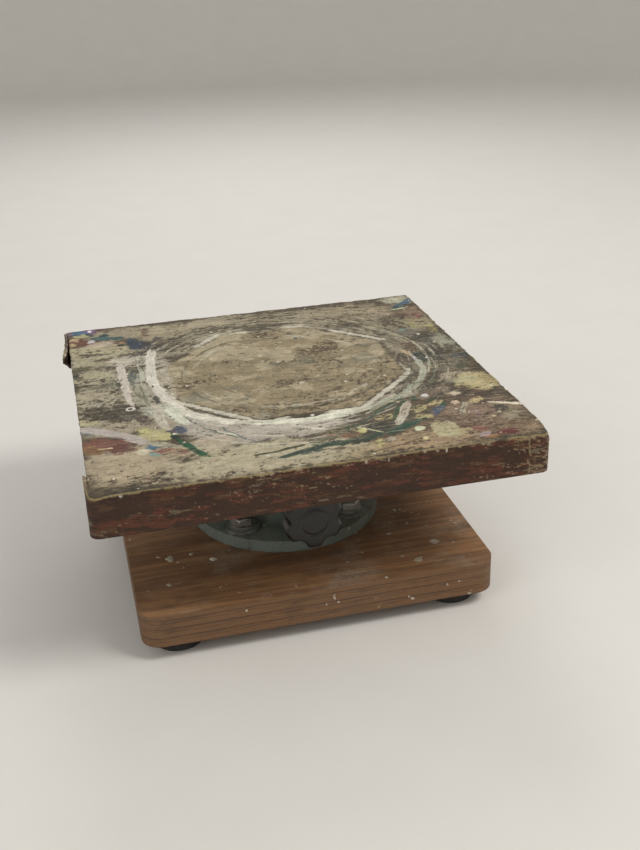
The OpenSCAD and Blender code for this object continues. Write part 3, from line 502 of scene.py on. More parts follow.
def new_mesh(name, points, faces):
    """A smooth object from points in millimetres and face index arrays, one per number of corners."""
    mesh = bpy.data.meshes.new(name)
    points = np.asarray(points, float) * MM
    mesh.vertices.add(len(points))
    mesh.vertices.foreach_set("co", points.ravel())
    loops = np.concatenate([f.ravel() for f in faces]).astype(np.int32)
    sizes = np.concatenate([np.full(len(f), f.shape[1]) for f in faces]).astype(np.int32)
    starts = np.concatenate([[0], np.cumsum(sizes)[:-1]]).astype(np.int32)
    mesh.loops.add(len(loops))
    mesh.loops.foreach_set("vertex_index", loops)
    mesh.polygons.add(len(sizes))
    mesh.polygons.foreach_set("loop_start", starts)
    mesh.polygons.foreach_set("loop_total", sizes)
    mesh.polygons.foreach_set("use_smooth", np.full(len(sizes), True))
    mesh.update(calc_edges=True)
    mesh.validate()
    thing = bpy.data.objects.new(name, mesh)
    bpy.context.scene.collection.objects.link(thing)
    return thing


def add_paint(thing, colour, cover, gloss):
    """Stores the painted colour, how much of it covers the surface, and its gloss."""
    rgba = np.column_stack([np.clip(colour, 0.0, 1.0), np.clip(cover, 0.0, 1.0)]).astype(np.float32)
    layer = thing.data.attributes.new("paint", "FLOAT_COLOR", "POINT")
    layer.data.foreach_set("color", rgba.ravel())
    layer = thing.data.attributes.new("gloss", "FLOAT", "POINT")
    layer.data.foreach_set("value", np.clip(gloss, 0.0, 1.0).astype(np.float32))


def strip_faces(rows, cols, wrap=False, start=0):
    """Quads between rows of points; with wrap, each row closes on itself."""
    i, j = np.meshgrid(np.arange(rows - 1), np.arange(cols if wrap else cols - 1), indexing="ij")
    k = (j + 1) % cols
    quads = np.stack([i * cols + j, i * cols + k, (i + 1) * cols + k, (i + 1) * cols + j], -1)
    return quads.reshape(-1, 4) + start


def tube_faces(rows, cols, other_way=False):
    """Faces of a closed tube made of rows of points, capped at both ends; other_way turns them all over."""
    ring = np.arange(cols)
    faces = [strip_faces(rows, cols, True), np.stack([ring[::-1], ring + (rows - 1) * cols])]
    return [f[:, ::-1] for f in faces] if other_way else faces


def turned(profile, sides, warp=None):
    """A shape turned round Z from (radius, height) pairs; warp(radius, angle, height) may reshape it."""
    profile = np.array(profile, float)
    radius = np.repeat(profile[:, :1], sides, 1)
    height = np.repeat(profile[:, 1:2], sides, 1)
    angle = np.repeat((np.arange(sides) * FULL / sides)[None], len(profile), 0)
    if warp:
        radius = warp(radius, angle, height)
    points = np.stack([radius * np.cos(angle), radius * np.sin(angle), height], -1).reshape(-1, 3)
    return points, tube_faces(len(profile), sides)


def joined(parts):
    """Several parts, each its points and its faces, as one."""
    points, faces, start = [], [], 0
    for p, fs in parts:
        points.append(p)
        faces += [f + start for f in fs]
        start += len(p)
    return np.concatenate(points), faces


def moved(part, x, y, turn=0.0):
    """The same part, turned round Z and then moved."""
    points, faces = part
    c, s = np.cos(turn), np.sin(turn)
    px, py, pz = points.T
    return np.column_stack([c * px - s * py, s * px + c * py, pz]) + (x, y, 0.0), faces


def along_lock(part):
    """Lays a shape turned round Z along the lock screw, its Z pointing out to the front."""
    points, faces = part
    return np.column_stack([points[:, 0], -points[:, 2], points[:, 1] + Z_LOCK]), faces


def finish_piece(thing, body, slot, looks, *replaced):
    """Gives a piece its materials and body, and hides the CAD nodes it stands for; slot is not used."""
    for look in looks:
        thing.data.materials.append(look)
    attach(thing, body)
    if replaced:
        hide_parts(*replaced)


# ---------- The top and its edging ----------


def round_corners(x, y, half, front_r, back_r):
    """Squeezes a square's corners into quarter circles without folding its grid."""
    x, y = x.copy(), y.copy()
    for sx in (-1, 1):
        for sy, r in ((-1, front_r), (1, back_r)):
            at = (sx * x > half - r) & (sy * y > half - r)
            u = np.clip((sx * x[at] - half + r) / r, 0, 1)
            v = np.clip((sy * y[at] - half + r) / r, 0, 1)
            x[at] = sx * (half - r + r * u * np.sqrt(1 - v * v / 2))
            y[at] = sy * (half - r + r * v * np.sqrt(1 - u * u / 2))
    return x, y


def sample(field, x, y):
    """Reads a field of the crust at points of the model, between grid points."""
    fx = np.clip((x + HALF) / STEP, 0, field.shape[1] - 1.001)
    fy = np.clip((HALF - y) / STEP, 0, field.shape[0] - 1.001)
    ix, iy = fx.astype(int), fy.astype(int)
    tx, ty = fx - ix, fy - iy
    if field.ndim == 3:
        tx, ty = tx[..., None], ty[..., None]
    low = field[iy, ix] * (1 - tx) + field[iy, ix + 1] * tx
    high = field[iy + 1, ix] * (1 - tx) + field[iy + 1, ix + 1] * tx
    return low * (1 - ty) + high * ty


class Coats:
    """Paint and dirt on a side: their colour, and how much of the wood they cover."""

    def __init__(self, shape):
        self.cover = np.zeros(shape)
        self.tint = np.zeros(shape + (3,))

    def add(self, share, colour, at=slice(None)):
        """One more coat over what is there; a tuple is a screen colour."""
        tint = linear(colour) if isinstance(colour, tuple) else colour
        self.tint[at] += (tint - self.tint[at]) * share[..., None]
        self.cover[at] = np.maximum(self.cover[at], share)


def side_runs(s, z, seed, count, length, longest):
    """Trickles of plaster and paint that ran down a side, as coats and as thickness."""
    rng = np.random.default_rng(seed)
    coats, lift = Coats(s.shape), np.zeros(s.shape)
    choices = [
        (196, 190, 176), (184, 174, 150), (170, 160, 128), (150, 140, 118), (70, 90, 98), (92, 50, 40),
    ]
    for _ in range(count):
        at, width = rng.uniform(0, length), rng.uniform(0.7, 2.0)
        drop = (1.5 + longest * rng.random() ** 3) * min(1.0, width / 1.3)
        rgb = choices[min(int(rng.exponential(1.6)), len(choices) - 1)]
        near = abs(s - at) < 8
        wander = 0.5 * np.sin(z[near] * 0.35 + at)
        down = Z_TOP - z[near]
        bead = 0.18 * np.exp(-((down - drop + width) / width) ** 2)
        half = width * (0.5 + bead + 0.5 * np.exp(-down / 1.2))
        side = abs(s[near] - at - wander * down / 24)
        tail = np.clip(down - (drop - half), 0, None)
        inside = smooth((half - np.hypot(side, tail)) / 0.5)
        coats.add(inside, rgb, near)
        bump = 0.4 * np.sqrt(np.clip(1 - (side / half) ** 2, 0, 1)) * inside
        lift[near] = np.maximum(lift[near], bump)
    return coats, lift


def corner_wear(x, y):
    """How far the front corners have been rubbed down."""
    return 1.5 * np.exp(-(((HALF - abs(x)) ** 2 + (HALF + y) ** 2) / 9.0**2))


def directions(line):
    """Unit vectors along a line, from the steps between its points."""
    return line / np.hypot(line[:, 0], line[:, 1])[:, None]


def paint_board_side(s, z, rim_colour):
    """The board's sides: runs, fraying layers, torn flakes, smears and dirt. Returns its coats and how
    far the surface stands out."""
    ply = 2.667
    coats, lift = side_runs(s, z, 17, 110, 8 * CORE_HALF, 14.0)
    layer = np.floor((z - Z_BOARD) / ply)
    fray = 0.10 * fractal(s, z, 1.1, 0.9, 311, 3) + 0.16 * value_noise(s, layer * 7.0, 3.0, 1.0, 317)
    torn = np.clip(fractal(s, z, 9.0, 2.2, 321, 3) - 0.75, 0, 1)
    smear = smooth((fractal(s, z, 8.0, 1.3, 331, 4) - 0.55) / 0.35) * smooth((z - 106) / 16 + 0.2)
    coats.add(0.8 * smear * (1 - coats.cover), (150, 140, 112))
    dirt = 0.55 * smooth((fractal(s, z, 14.0, 5.0, 341, 4) + 0.1) / 0.6)
    coats.add(dirt * (1 - coats.cover), (58, 44, 32))
    # the crust of the face folds over the arris
    over_edge = smooth((z - Z_TOP + 1.6 + 0.9 * value_noise(s, s * 0, 1.7, 1.0, 351)) / 0.8)
    coats.add(over_edge, np.repeat(rim_colour[None], len(z), 0))
    return coats, lift + fray - 0.8 * torn - 0.15


def build_top(crust, looks):
    """The board: its painted face as a fine grid, its sides hung from the grid's border."""
    n = int(2 * CORE_HALF / STEP) + 1
    axis = np.linspace(-CORE_HALF, CORE_HALF, n)
    x, y = np.meshgrid(axis, axis[::-1])
    x, y = round_corners(x, y, CORE_HALF, FRONT_R - BAND, BACK_R - BAND)
    walk = np.arange(n)
    inwards = np.minimum(walk, n - 1 - walk) * STEP
    edge = np.minimum(inwards[:, None], inwards[None])
    height = sample(crust.height, x, y) - 0.12 * np.exp(-edge / 0.35) - corner_wear(x, y)
    # chips along the bare left arris
    chips = np.clip(line_noise(y, 5.0, 301) - 0.2, 0, 1)
    height -= 0.9 * chips * np.exp(-((x + CORE_HALF) / 1.0) ** 2)
    top = np.stack([x, y, Z_TOP + height], -1).reshape(-1, 3)
    colour = sample(crust.colour, x, y).reshape(-1, 3)
    gloss = sample(crust.gloss, x, y).ravel()
    # the grid's border, anticlockwise from the back left corner
    left, front = walk[:-1] * n, (n - 1) * n + walk[:-1]
    right, back = walk[:0:-1] * n + n - 1, walk[:0:-1]
    border = np.concatenate([left, front, right, back])
    rim = top[border]
    before = rim - np.roll(rim, 1, 0)
    along = directions(np.roll(rim, -1, 0) - rim + before)
    count, below = len(border), 32
    s = np.repeat(np.cumsum(np.hypot(before[:, 0], before[:, 1]))[None], below, 0)
    drop = np.linspace(0, 1, below + 1)[1:]
    z = rim[None, :, 2] + (Z_BOARD - rim[None, :, 2]) * drop[:, None]
    coats, push = paint_board_side(s, z, colour[border])
    side = np.stack([rim[:, 0] + along[:, 1] * push, rim[:, 1] - along[:, 0] * push, z], -1)
    first, links = n * n, np.arange(count)
    quads = np.concatenate([
        strip_faces(n, n)[:, ::-1],
        np.stack([border, first + links, first + np.roll(links, -1), np.roll(border, -1)], -1),
        strip_faces(below, count, True, first)[:, ::-1],
    ])
    bottom = (first + (below - 1) * count + links[::-1])[None]
    thing = new_mesh("painted_top", np.concatenate([top, side.reshape(-1, 3)]), [quads, bottom])
    cover = coats.cover.ravel()
    add_paint(
        thing,
        np.concatenate([colour, coats.tint.reshape(-1, 3)]),
        np.concatenate([np.ones(first), cover]),
        np.concatenate([gloss, 0.2 * cover]),
    )
    # crust on the face, plywood on the sides and underneath
    kinds = np.ones(len(thing.data.polygons), np.int32)
    kinds[:(n - 1) ** 2] = 0
    thing.data.polygons.foreach_set("material_index", kinds)
    finish_piece(thing, "head", "plywood_top", looks, "turntable_board")


def arc_points(cx, cy, r, quarter, step):
    """A quarter circle, anticlockwise; quarter 0 starts at +X."""
    start, end = quarter * np.pi / 2, (quarter + 1) * np.pi / 2
    count = max(3, int(r * (end - start) / step))
    return [(cx + r * np.cos(a), cy + r * np.sin(a)) for a in np.linspace(start, end, count)]


def band_path(step, loose_len):
    """Outer line of the edging: from its stub at the front left, round the front, right and back, to the
    sprung end at the back left."""
    stub, flare = 26.0, 3.0
    f, b = HALF - FRONT_R, HALF - BACK_R
    line = [(-HALF, y) for y in np.arange(-HALF + stub, -f, -step)]
    line += arc_points(-f, -f, FRONT_R, 2, step)
    line += [(x, -HALF) for x in np.arange(-f + step, f, step)]
    line += arc_points(f, -f, FRONT_R, -1, step)
    line += [(HALF, y) for y in np.arange(-f + step, b, step)]
    line += arc_points(b, b, BACK_R, 0, step / 2)
    line += [(x, HALF) for x in np.arange(b - step, -b, -step)]
    line += arc_points(-b, b, BACK_R, 1, step / 2)
    bow = loose_len**2 / (2 * flare)
    down = np.arange(step, loose_len + step / 2, step)
    line += [(-CORE_HALF - bow + np.sqrt((bow - BAND) ** 2 - d * d), b - d) for d in down]
    return np.array(line)


def band_section():
    """The edging's section as (depth, height): up the outside, over the top, down the inside and back."""
    section = [(0.0, Z_BOARD + 0.4 + 22.9 * t) for t in np.linspace(0, 1, 41)]
    section += [(-0.12, Z_TOP - 0.3), (-0.4, Z_TOP - 0.05), (-0.8, Z_TOP), (-1.2, Z_TOP)]
    section += [(-1.6, Z_TOP - 0.02), (-1.95, Z_TOP - 0.3)]
    section += [(-BAND, Z_TOP - d) for d in (1.5, 4, 8, 12, 16, 20, 23.6)]
    return np.array(section + [(-1.6, Z_BOARD), (-0.4, Z_BOARD)])


def build_edging(crust, look):
    """The wooden edging, swept along its path: broken at both ends, sprung and split at the back left."""
    step, loose_len, split_root, split_tip = 0.55, 46.0, 4.0, 4.0
    line, section = band_path(step, loose_len), band_section()
    along = directions(np.gradient(line, axis=0))
    out = np.column_stack([along[:, 1], -along[:, 0]])
    rows, cols = len(line), len(section)
    depth = np.repeat(section[None, :, 0], rows, 0)
    z = np.repeat(section[None, :, 1], rows, 0)
    s = np.concatenate([[0], np.cumsum(np.hypot(*np.diff(line, axis=0).T))])
    length = s[-1]
    s = np.repeat(s[:, None], cols, 1)
    outside = depth > -0.3
    above = (z > Z_TOP - 0.5) & (depth > -1.9)
    # broken ends
    ends = 1.6 * fractal(z, depth * 2, 2.2, 1.5, 401, 3) + 1.1 * value_noise(z, depth * 0, 0.9, 1.0, 402)
    shift = ends * (np.exp(-s / 1.5) - np.exp(-(length - s) / 1.5))
    x = line[:, :1] + out[:, :1] * depth + along[:, :1] * shift
    y = line[:, 1:] + out[:, 1:] * depth + along[:, 1:] * shift

    coats, lift = side_runs(s, z, 29, 60, length, 5.0)
    bare = lift < 0.05
    near_top = smooth((z - 114.5) / 5.5)
    corner = np.exp(-(((x - HALF) ** 2 + (y + HALF) ** 2) / 26.0**2))
    scrape = fractal(s, z, 7.0, 1.1, 411, 4, 0.8)
    speck = fractal(s, z, 1.5, 1.1, 413, 2, 0.8)
    patchy = fractal(s, z, 30.0, 9.0, 415, 3)
    busy = 0.5 * patchy + 0.6 * near_top + 1.35 * corner
    base = 0.8 * smooth((fractal(s, z, 16.0, 3.0, 405, 4) + 0.9) / 0.6)
    red = smooth((fractal(s, z, 10.0, 2.4, 421, 4) - 0.2) / 0.4)
    dark = smooth((-scrape - 0.3 * patchy - 0.3) / 0.4)
    light = smooth((scrape + busy - 1.25) / 0.3)
    pink = smooth((speck + 0.6 * busy - 1.3) / 0.25)
    smear = smooth((fractal(s, z, 22.0, 5.0, 431, 4) + 0.25 * scrape - 0.85) / 0.3)
    coats.add(base * (1 - coats.cover), (58, 38, 28))
    coats.add(0.7 * red * bare, (106, 54, 40))
    coats.add(0.75 * dark * bare, (36, 25, 18))
    coats.add(0.85 * light, (158, 138, 106))
    coats.add(0.8 * pink, (170, 140, 118))
    coats.add(0.8 * smear * outside, (126, 116, 94))
    # a pale seam runs down the front, close to the right corner
    ragged = 0.7 * value_noise(z, z * 0, 1.6, 1.0, 441) + 0.4 * value_noise(z, z * 0, 0.7, 1.0, 442)
    seam = smooth((0.6 - abs(x - 112 - ragged)) / 0.4) * (y < -120) * smooth((speck + 0.9) / 0.4)
    coats.add(0.85 * seam, (160, 142, 104))
    # the loose end is paler on its outside face
    tail = smooth((s - (length - loose_len - 4)) / 6)
    coats.add(0.7 * tail * outside * smooth((scrape + 0.9) / 1.4), (132, 120, 100))
    # the crust is carried on over the narrow top face, up to the worn arris
    coats.add(above.astype(float), sample(crust.colour, x, y))
    arris = smooth((z - 119.3 + 0.4 * line_noise(s, 4.0, 451, 3)) / 0.3) * (depth > -0.7)
    coats.add(0.8 * arris * smooth((line_noise(s, 9.0, 455) + 0.9) / 0.5), (152, 136, 92))

    worn = np.clip(line_noise(s, 7.0, 461) - 0.25, 0, 0.8)
    chip = np.clip(fractal(s, z, 6.0, 3.0, 465, 3) - 0.95, 0, 1) * outside
    # what is left of the loose end narrows to its tip, its lower edge torn
    past = np.clip(loose_len - length + s - split_root, 0, None)
    torn = 0.8 * abs(line_noise(s, 3.0, 471)) * smooth(past / 3)
    tall = Z_TOP - Z_BOARD
    left = tall - past * (tall - split_tip) / (loose_len - split_root + 1) - torn
    z = Z_TOP - (Z_TOP - z) * left / tall
    z = z + above * 0.8 * sample(crust.height, x, y) - corner_wear(x, y) * smooth((z - 112) / 8)
    z = z - 0.6 * worn * (section[None, :, 1] > 119) * (depth > -1.0)
    relief = lift + 0.10 * scrape + 0.12 * red + 0.10 * light + 0.06 * speck
    push = outside * relief - 0.9 * chip - 0.9 * corner_wear(x, y) * smooth((z - 114) / 6)
    points = np.stack([x + out[:, :1] * push, y + out[:, 1:] * push, z], -1).reshape(-1, 3)
    thing = new_mesh("worn_edging", points, tube_faces(rows, cols, True))
    add_paint(thing, coats.tint.reshape(-1, 3), coats.cover.ravel(), 0.25 * coats.cover.ravel())
    finish_piece(thing, "head", "edging", [look], "edge_band")


# ---------- Materials ----------


class Value:
    """One output of a node; sums with it make more nodes."""

    def __init__(self, nodes, socket):
        self.nodes = nodes
        self.socket = socket

    def __add__(self, other):
        return self.nodes.maths("ADD", self, other)

    def __sub__(self, other):
        return self.nodes.maths("SUBTRACT", self, other)

    def __rsub__(self, other):
        return self.nodes.maths("SUBTRACT", other, self)

    def __mul__(self, other):
        return self.nodes.maths("MULTIPLY", self, other)


class Nodes:
    """A few helpers that make node trees short to write."""

    def __init__(self, name):
        self.material = bpy.data.materials.new(name)
        self.material.use_nodes = True
        self.tree = self.material.node_tree
        self.shader = self.tree.nodes["Principled BSDF"]
        self.place = self.new("TexCoord", {}, "Object")

    def link(self, value, socket):
        if isinstance(value, Value):
            self.tree.links.new(value.socket, socket)
        elif socket.type == "RGBA":
            socket.default_value = (*value, 1.0)
        else:
            socket.default_value = value

    def new(self, kind, inputs, output=0, **settings):
        """A node of one kind, set and linked up; returns one of its outputs."""
        node = self.tree.nodes.new("ShaderNode" + kind)
        for name, value in settings.items():
            setattr(node, name, value)
        for name, value in inputs.items():
            self.link(value, node.inputs[name])
        return Value(self, node.outputs[output])

    def maths(self, what, a, b=0.0):
        return self.new("Math", {0: a, 1: b}, operation=what)

    def scaled(self, size):
        """The place in the model divided by a size in millimetres, which may be one number or three."""
        sizes = size if isinstance(size, tuple) else (size, size, size)
        share = tuple(1 / (s * MM) for s in sizes)
        return self.new("VectorMath", {0: self.place, 1: share}, operation="MULTIPLY")

    def noise(self, size, detail=4.0, rough=0.55, bend=0.0):
        """Noise whose blotches are about size millimetres across."""
        inputs = {"Vector": self.scaled(size), "Scale": 1.0, "Detail": detail}
        return self.new("TexNoise", {**inputs, "Roughness": rough, "Distortion": bend})

    def step(self, value, low, high):
        """Nought below low, one above high, smooth between."""
        return self.new("MapRange", {0: value, 1: low, 2: high}, interpolation_type="SMOOTHSTEP")

    def mix(self, share, a, b):
        """From colour a to colour b."""
        return self.new("Mix", {0: share, 6: a, 7: b}, 2, data_type="RGBA")

    def blend(self, share, a, b):
        """From number a to number b."""
        return self.new("Mix", {0: share, 2: a, 3: b}, data_type="FLOAT")

    def shaded(self, colour, amount):
        """The same colour, lighter or darker."""
        return self.new("VectorMath", {0: colour, "Scale": amount}, operation="SCALE")

    def attribute(self, name, output):
        return self.new("Attribute", {}, output, attribute_name=name)

    def normal(self):
        return self.new("NewGeometry", {}, "Normal")

    def up(self):
        """How far a surface faces up, from minus one to one."""
        return self.new("SeparateXYZ", {0: self.normal()}, 2)

    def height(self):
        """How high a place is in the model, in millimetres."""
        return self.new("SeparateXYZ", {0: self.scaled(1.0)}, 2)

    def edges(self, width):
        """One on sharp edges, falling to nought width millimetres away from them."""
        softened = self.new("Bevel", {"Radius": width * MM}, samples=6)
        turn = self.new("VectorMath", {0: softened, 1: self.normal()}, "Value", operation="DOT_PRODUCT")
        return self.step(turn, 0.998, 0.93)

    def bump(self, height, depth, strength):
        return self.new("Bump", {"Height": height, "Distance": depth * MM, "Strength": strength})

    def done(self, colour, rough, metal, normal, **more):
        """Feeds the shader and returns the material."""
        inputs = {"Base Color": colour, "Roughness": rough, "Metallic": metal, "Normal": normal}
        for name, value in (inputs | more).items():
            self.link(value, self.shader.inputs[name.replace("_", " ")])
        return self.material


def rgb(*value):
    """An 8 bit screen colour as the linear colour a shader takes."""
    return tuple(float(v) for v in linear(value))


def darker(colour, share):
    return tuple(share * c for c in colour)


def plaster_dust(n, colour, rough, amount):
    """Pale plaster dust on what faces up, and splashes of it anywhere. Returns the new colour and
    roughness, and how much is covered."""
    drift = n.step(n.noise(34.0, 6.0, 0.7), 0.62 - 0.3 * amount, 0.8)
    lying = n.step(n.up(), 0.35, 0.95) * drift * n.step(n.noise(1.2, 3.0), 0.3, 0.6)
    thrown = n.noise(4.5, 3.0, 0.45) + n.noise(45.0, 2.0) * 0.25
    splash = n.step(thrown, 0.86 - 0.02 * amount, 0.87 - 0.02 * amount)
    share = n.maths("MAXIMUM", lying * (0.6 * amount + 0.1), splash * 0.85)
    tint = n.mix(n.noise(3.0), rgb(168, 160, 142), rgb(206, 200, 186))
    return n.mix(share, colour, tint), n.blend(share, rough, 0.9), share


def wood_colours(n, light, dark):
    """Rotary cut veneer: long grain with wavy figure in it. Returns its colour, grain and pores."""
    warp = n.noise((90.0, 12.0, 12.0), 3.0, 0.5, 1.2)
    streak = n.noise((60.0, 2.2, 2.2), 6.0, 0.65, 0.6)
    pores = n.step(n.noise((7.0, 0.35, 0.35), 2.0, 0.5), 0.6, 0.75)
    base = n.mix(n.step(n.blend(0.5, warp, streak), 0.36, 0.66), dark, light)
    return n.mix(pores * 0.35, base, darker(dark, 0.45)), streak, pores


def bare_ply(name, low, thick, layers, light, dark):
    """Plywood that shows its layers on its sides, by height, and veneer on its faces. Returns its nodes,
    colour, roughness and relief."""
    n = Nodes(name)
    face, streak, pores = wood_colours(n, light, dark)
    level = (n.height() - low) * (layers / thick) + (n.noise((30, 30, 9)) - 0.5) * 0.22
    glue = 1.0 - n.step(n.maths("PINGPONG", level, 1.0), 0.04, 0.12)
    even = n.step(n.maths("MODULO", level, 2.0), 0.98, 1.02)
    end_grain = n.step(n.noise((0.5, 0.5, 0.35), 3.0, 0.7), 0.35, 0.7)
    long_grain = n.step(n.noise((14.0, 14.0, 0.4), 5.0, 0.7), 0.35, 0.68)
    strand = n.blend(even, end_grain, long_grain)
    ply = n.mix(strand, darker(dark, 0.55), light)
    ply = n.mix(even * 0.45, ply, darker(dark, 0.8))
    ply = n.mix(glue * 0.7, ply, rgb(48, 30, 20))
    flat = n.step(n.maths("ABSOLUTE", n.up()), 0.6, 0.8)
    grime = n.step(n.noise(26.0, 6.0, 0.65), 0.5, 0.75)
    colour = n.mix(grime * 0.6, n.mix(flat, ply, face), rgb(62, 48, 36))
    relief = n.blend(flat, strand - glue * 1.5, streak - pores)
    return n, colour, n.blend(n.noise(5.0), 0.55, 0.8), relief


def painted_ply(*ply):
    """Plywood with the stored paint over it, where there is some."""
    n, colour, rough, relief = bare_ply(*ply)
    paint, cover = n.attribute("paint", "Color"), n.attribute("paint", "Alpha")
    gloss = n.attribute("gloss", "Fac")
    grain = n.noise(0.9, 4.0, 0.7)
    chalk = n.mix(n.step(grain, 0.35, 0.72), paint, n.shaded(paint, 0.6))
    chalk = n.mix(n.step(n.noise(0.5, 2.0), 0.56, 0.75), chalk, n.shaded(paint, 1.3))
    colour = n.shaded(n.mix(cover, colour, chalk), 0.88)
    matt = n.blend(n.noise(2.0, 4.0), 0.62, 0.92)
    rough = n.blend(cover, rough, n.blend(gloss, matt, 0.38))
    relief = n.blend(cover, relief, grain + n.noise(0.35, 2.0) * 0.5)
    return n.done(colour, rough, 0.0, n.bump(relief, 0.22, 0.8), Specular_IOR_Level=0.35)


def varnished_ply(*ply):
    """Plywood under old varnish and dust."""
    n, colour, rough, relief = bare_ply(*ply)
    colour, rough, dust = plaster_dust(n, colour, rough, 0.55)
    sheen = n.step(n.noise(30.0, 3.0), 0.4, 0.7) * 0.18
    bump = n.bump(relief + dust, 0.18, 0.7)
    return n.done(colour, rough, 0.0, bump, Coat_Weight=sheen, Coat_Roughness=0.35)


def crust_look():
    """The painted crust on the face of the top."""
    n = Nodes("paint_crust")
    paint, gloss = n.attribute("paint", "Color"), n.attribute("gloss", "Fac")
    grit = n.noise(0.8, 4.0, 0.7)
    colour = n.mix(n.step(grit, 0.5, 0.78), paint, n.shaded(paint, 1.35))
    colour = n.mix(n.step(grit, 0.5, 0.26), colour, n.shaded(paint, 0.55))
    dashes = n.step(n.noise((3.4, 0.7, 0.9), 3.0, 0.65, 0.5), 0.62, 0.74)
    colour = n.shaded(n.mix(dashes, colour, n.shaded(colour, 0.72)), 0.84)
    rough = n.blend(gloss, n.blend(n.noise(2.0, 4.0), 0.66, 0.95), 0.36)
    bump = n.bump(grit + n.noise(0.3, 2.0, 0.6) * 0.5, 0.25, 0.75)
    return n.done(colour, rough, 0.0, bump, Specular_IOR_Level=0.35)


def cast_iron_look():
    """Old hammered machine enamel over grey iron: chipped on its edges, dusty on top."""
    n = Nodes("enamelled_iron")
    dimple = n.new("TexVoronoi", {"Vector": n.scaled(3.2)}, "Distance", feature="SMOOTH_F1")
    enamel = n.mix(n.noise(18.0, 4.0), rgb(92, 102, 97), rgb(118, 128, 120))
    enamel = n.mix(n.step(dimple, 0.2, 0.6) * 0.35, enamel, rgb(142, 150, 140))
    worn = n.edges(1.6) * n.step(n.noise(5.0, 5.0, 0.7), 0.45, 0.56)
    bare = n.maths("MAXIMUM", n.step(worn, 0.25, 0.4), n.step(n.noise(9.0, 6.0, 0.75), 0.70, 0.71))
    rust = n.step(n.noise(3.0, 5.0, 0.7), 0.5, 0.64)
    colour = n.mix(bare, enamel, n.mix(rust, rgb(118, 114, 108), rgb(104, 62, 38)))
    grime = n.step(n.noise(14.0, 6.0, 0.7), 0.5, 0.74)
    colour = n.mix(grime * 0.6, colour, rgb(44, 38, 30))
    rough = n.blend(bare, n.blend(n.noise(12.0), 0.34, 0.5), n.blend(rust, 0.4, 0.85))
    colour, rough, dust = plaster_dust(n, colour, rough, 0.75)
    metal = bare * (0.85 - rust * 0.8) * (1.0 - dust)
    relief = dimple * 1.4 + n.noise(1.1, 3.0) * 0.3 + dust * 0.5 - bare * 0.7
    return n.done(colour, rough, metal, n.bump(relief, 0.35, 0.8))


def steel_look(name, light, dark, low, high, turned_marks=True, rusty=0.0, dusty=0.0):
    """Turned or rolled steel, with fine marks round its axis, oil stains and a little rust."""
    n = Nodes(name)
    marks = n.noise((14.0, 14.0, 0.25) if turned_marks else 1.6, 4.0, 0.65)
    stain = n.step(n.noise(8.0, 5.0, 0.6), 0.42, 0.7)
    colour = n.mix(stain, light, dark)
    colour = n.mix(n.step(marks, 0.4, 0.7) * 0.3, colour, darker(dark, 0.6))
    rust = n.step(n.noise(3.0, 6.0, 0.75), 0.72 - 0.24 * rusty, 0.86 - 0.24 * rusty)
    colour = n.mix(rust, colour, n.mix(n.noise(1.0), rgb(92, 52, 30), rgb(132, 82, 46)))
    rough = n.blend(rust, n.blend(marks, low, high), 0.9)
    metal = 1.0 - rust * 0.9
    if dusty:
        colour, rough, dust = plaster_dust(n, colour, rough, dusty)
        metal = metal * (1.0 - dust)
    return n.done(colour, rough, metal, n.bump(marks + rust * 0.8, 0.06, 0.6))


def felt_look():
    """Felt soaked with oil in places."""
    n = Nodes("oiled_felt")
    fibre = n.noise((0.9, 0.9, 0.3), 5.0, 0.8, 1.5)
    colour = n.mix(n.step(fibre, 0.35, 0.7), rgb(52, 48, 44), rgb(112, 106, 96))
    colour = n.mix(n.step(n.noise(7.0), 0.45, 0.65) * 0.6, colour, rgb(34, 29, 24))
    return n.done(colour, 0.95, 0.0, n.bump(fibre, 0.4, 1.0), Sheen_Weight=0.3)


def brass_look():
    """Drawn brass, browned in patches."""
    n = Nodes("aged_brass")
    marks = n.noise((9.0, 0.3, 9.0), 4.0, 0.6)
    patina = n.step(n.noise(3.5, 5.0, 0.65), 0.45, 0.72)
    colour = n.mix(patina, rgb(200, 160, 92), rgb(122, 92, 52))
    rough = n.blend(patina, n.blend(marks, 0.22, 0.36), 0.55)
    return n.done(colour, rough, 1.0, n.bump(marks, 0.05, 0.6))


def knob_look():
    """Thermoset knob: black, satin, scuffed, with dried plaster on it."""
    n = Nodes("black_thermoset")
    base = n.mix(n.noise(10.0, 4.0), rgb(22, 21, 20), rgb(38, 36, 34))
    scuff = n.step(n.noise((0.7, 2.5, 1.6), 5.0, 0.7), 0.58, 0.74)
    rim = n.edges(1.2) * n.step(n.noise(2.0, 4.0), 0.4, 0.6)
    colour = n.mix(n.maths("MAXIMUM", scuff * 0.22, rim * 0.4), base, rgb(112, 106, 98))
    colour, rough, dust = plaster_dust(n, colour, n.blend(scuff, 0.32, 0.6), 0.45)
    return n.done(colour, rough, 0.0, n.bump(n.noise(0.7) + dust, 0.08, 0.7))


def rubber_look():
    """Black rubber, dusty and linty."""
    n = Nodes("black_rubber")
    grain = n.noise(0.6, 4.0, 0.7)
    base = n.mix(n.noise(7.0, 4.0), rgb(28, 27, 26), rgb(50, 48, 45))
    colour, rough, _ = plaster_dust(n, base, n.blend(grain, 0.68, 0.9), 0.5)
    lint = n.step(n.noise((6.0, 6.0, 0.5), 4.0), 0.6, 0.75)
    colour = n.mix(lint * 0.3, colour, rgb(112, 106, 98))
    return n.done(colour, rough, 0.0, n.bump(grain, 0.12, 0.8))


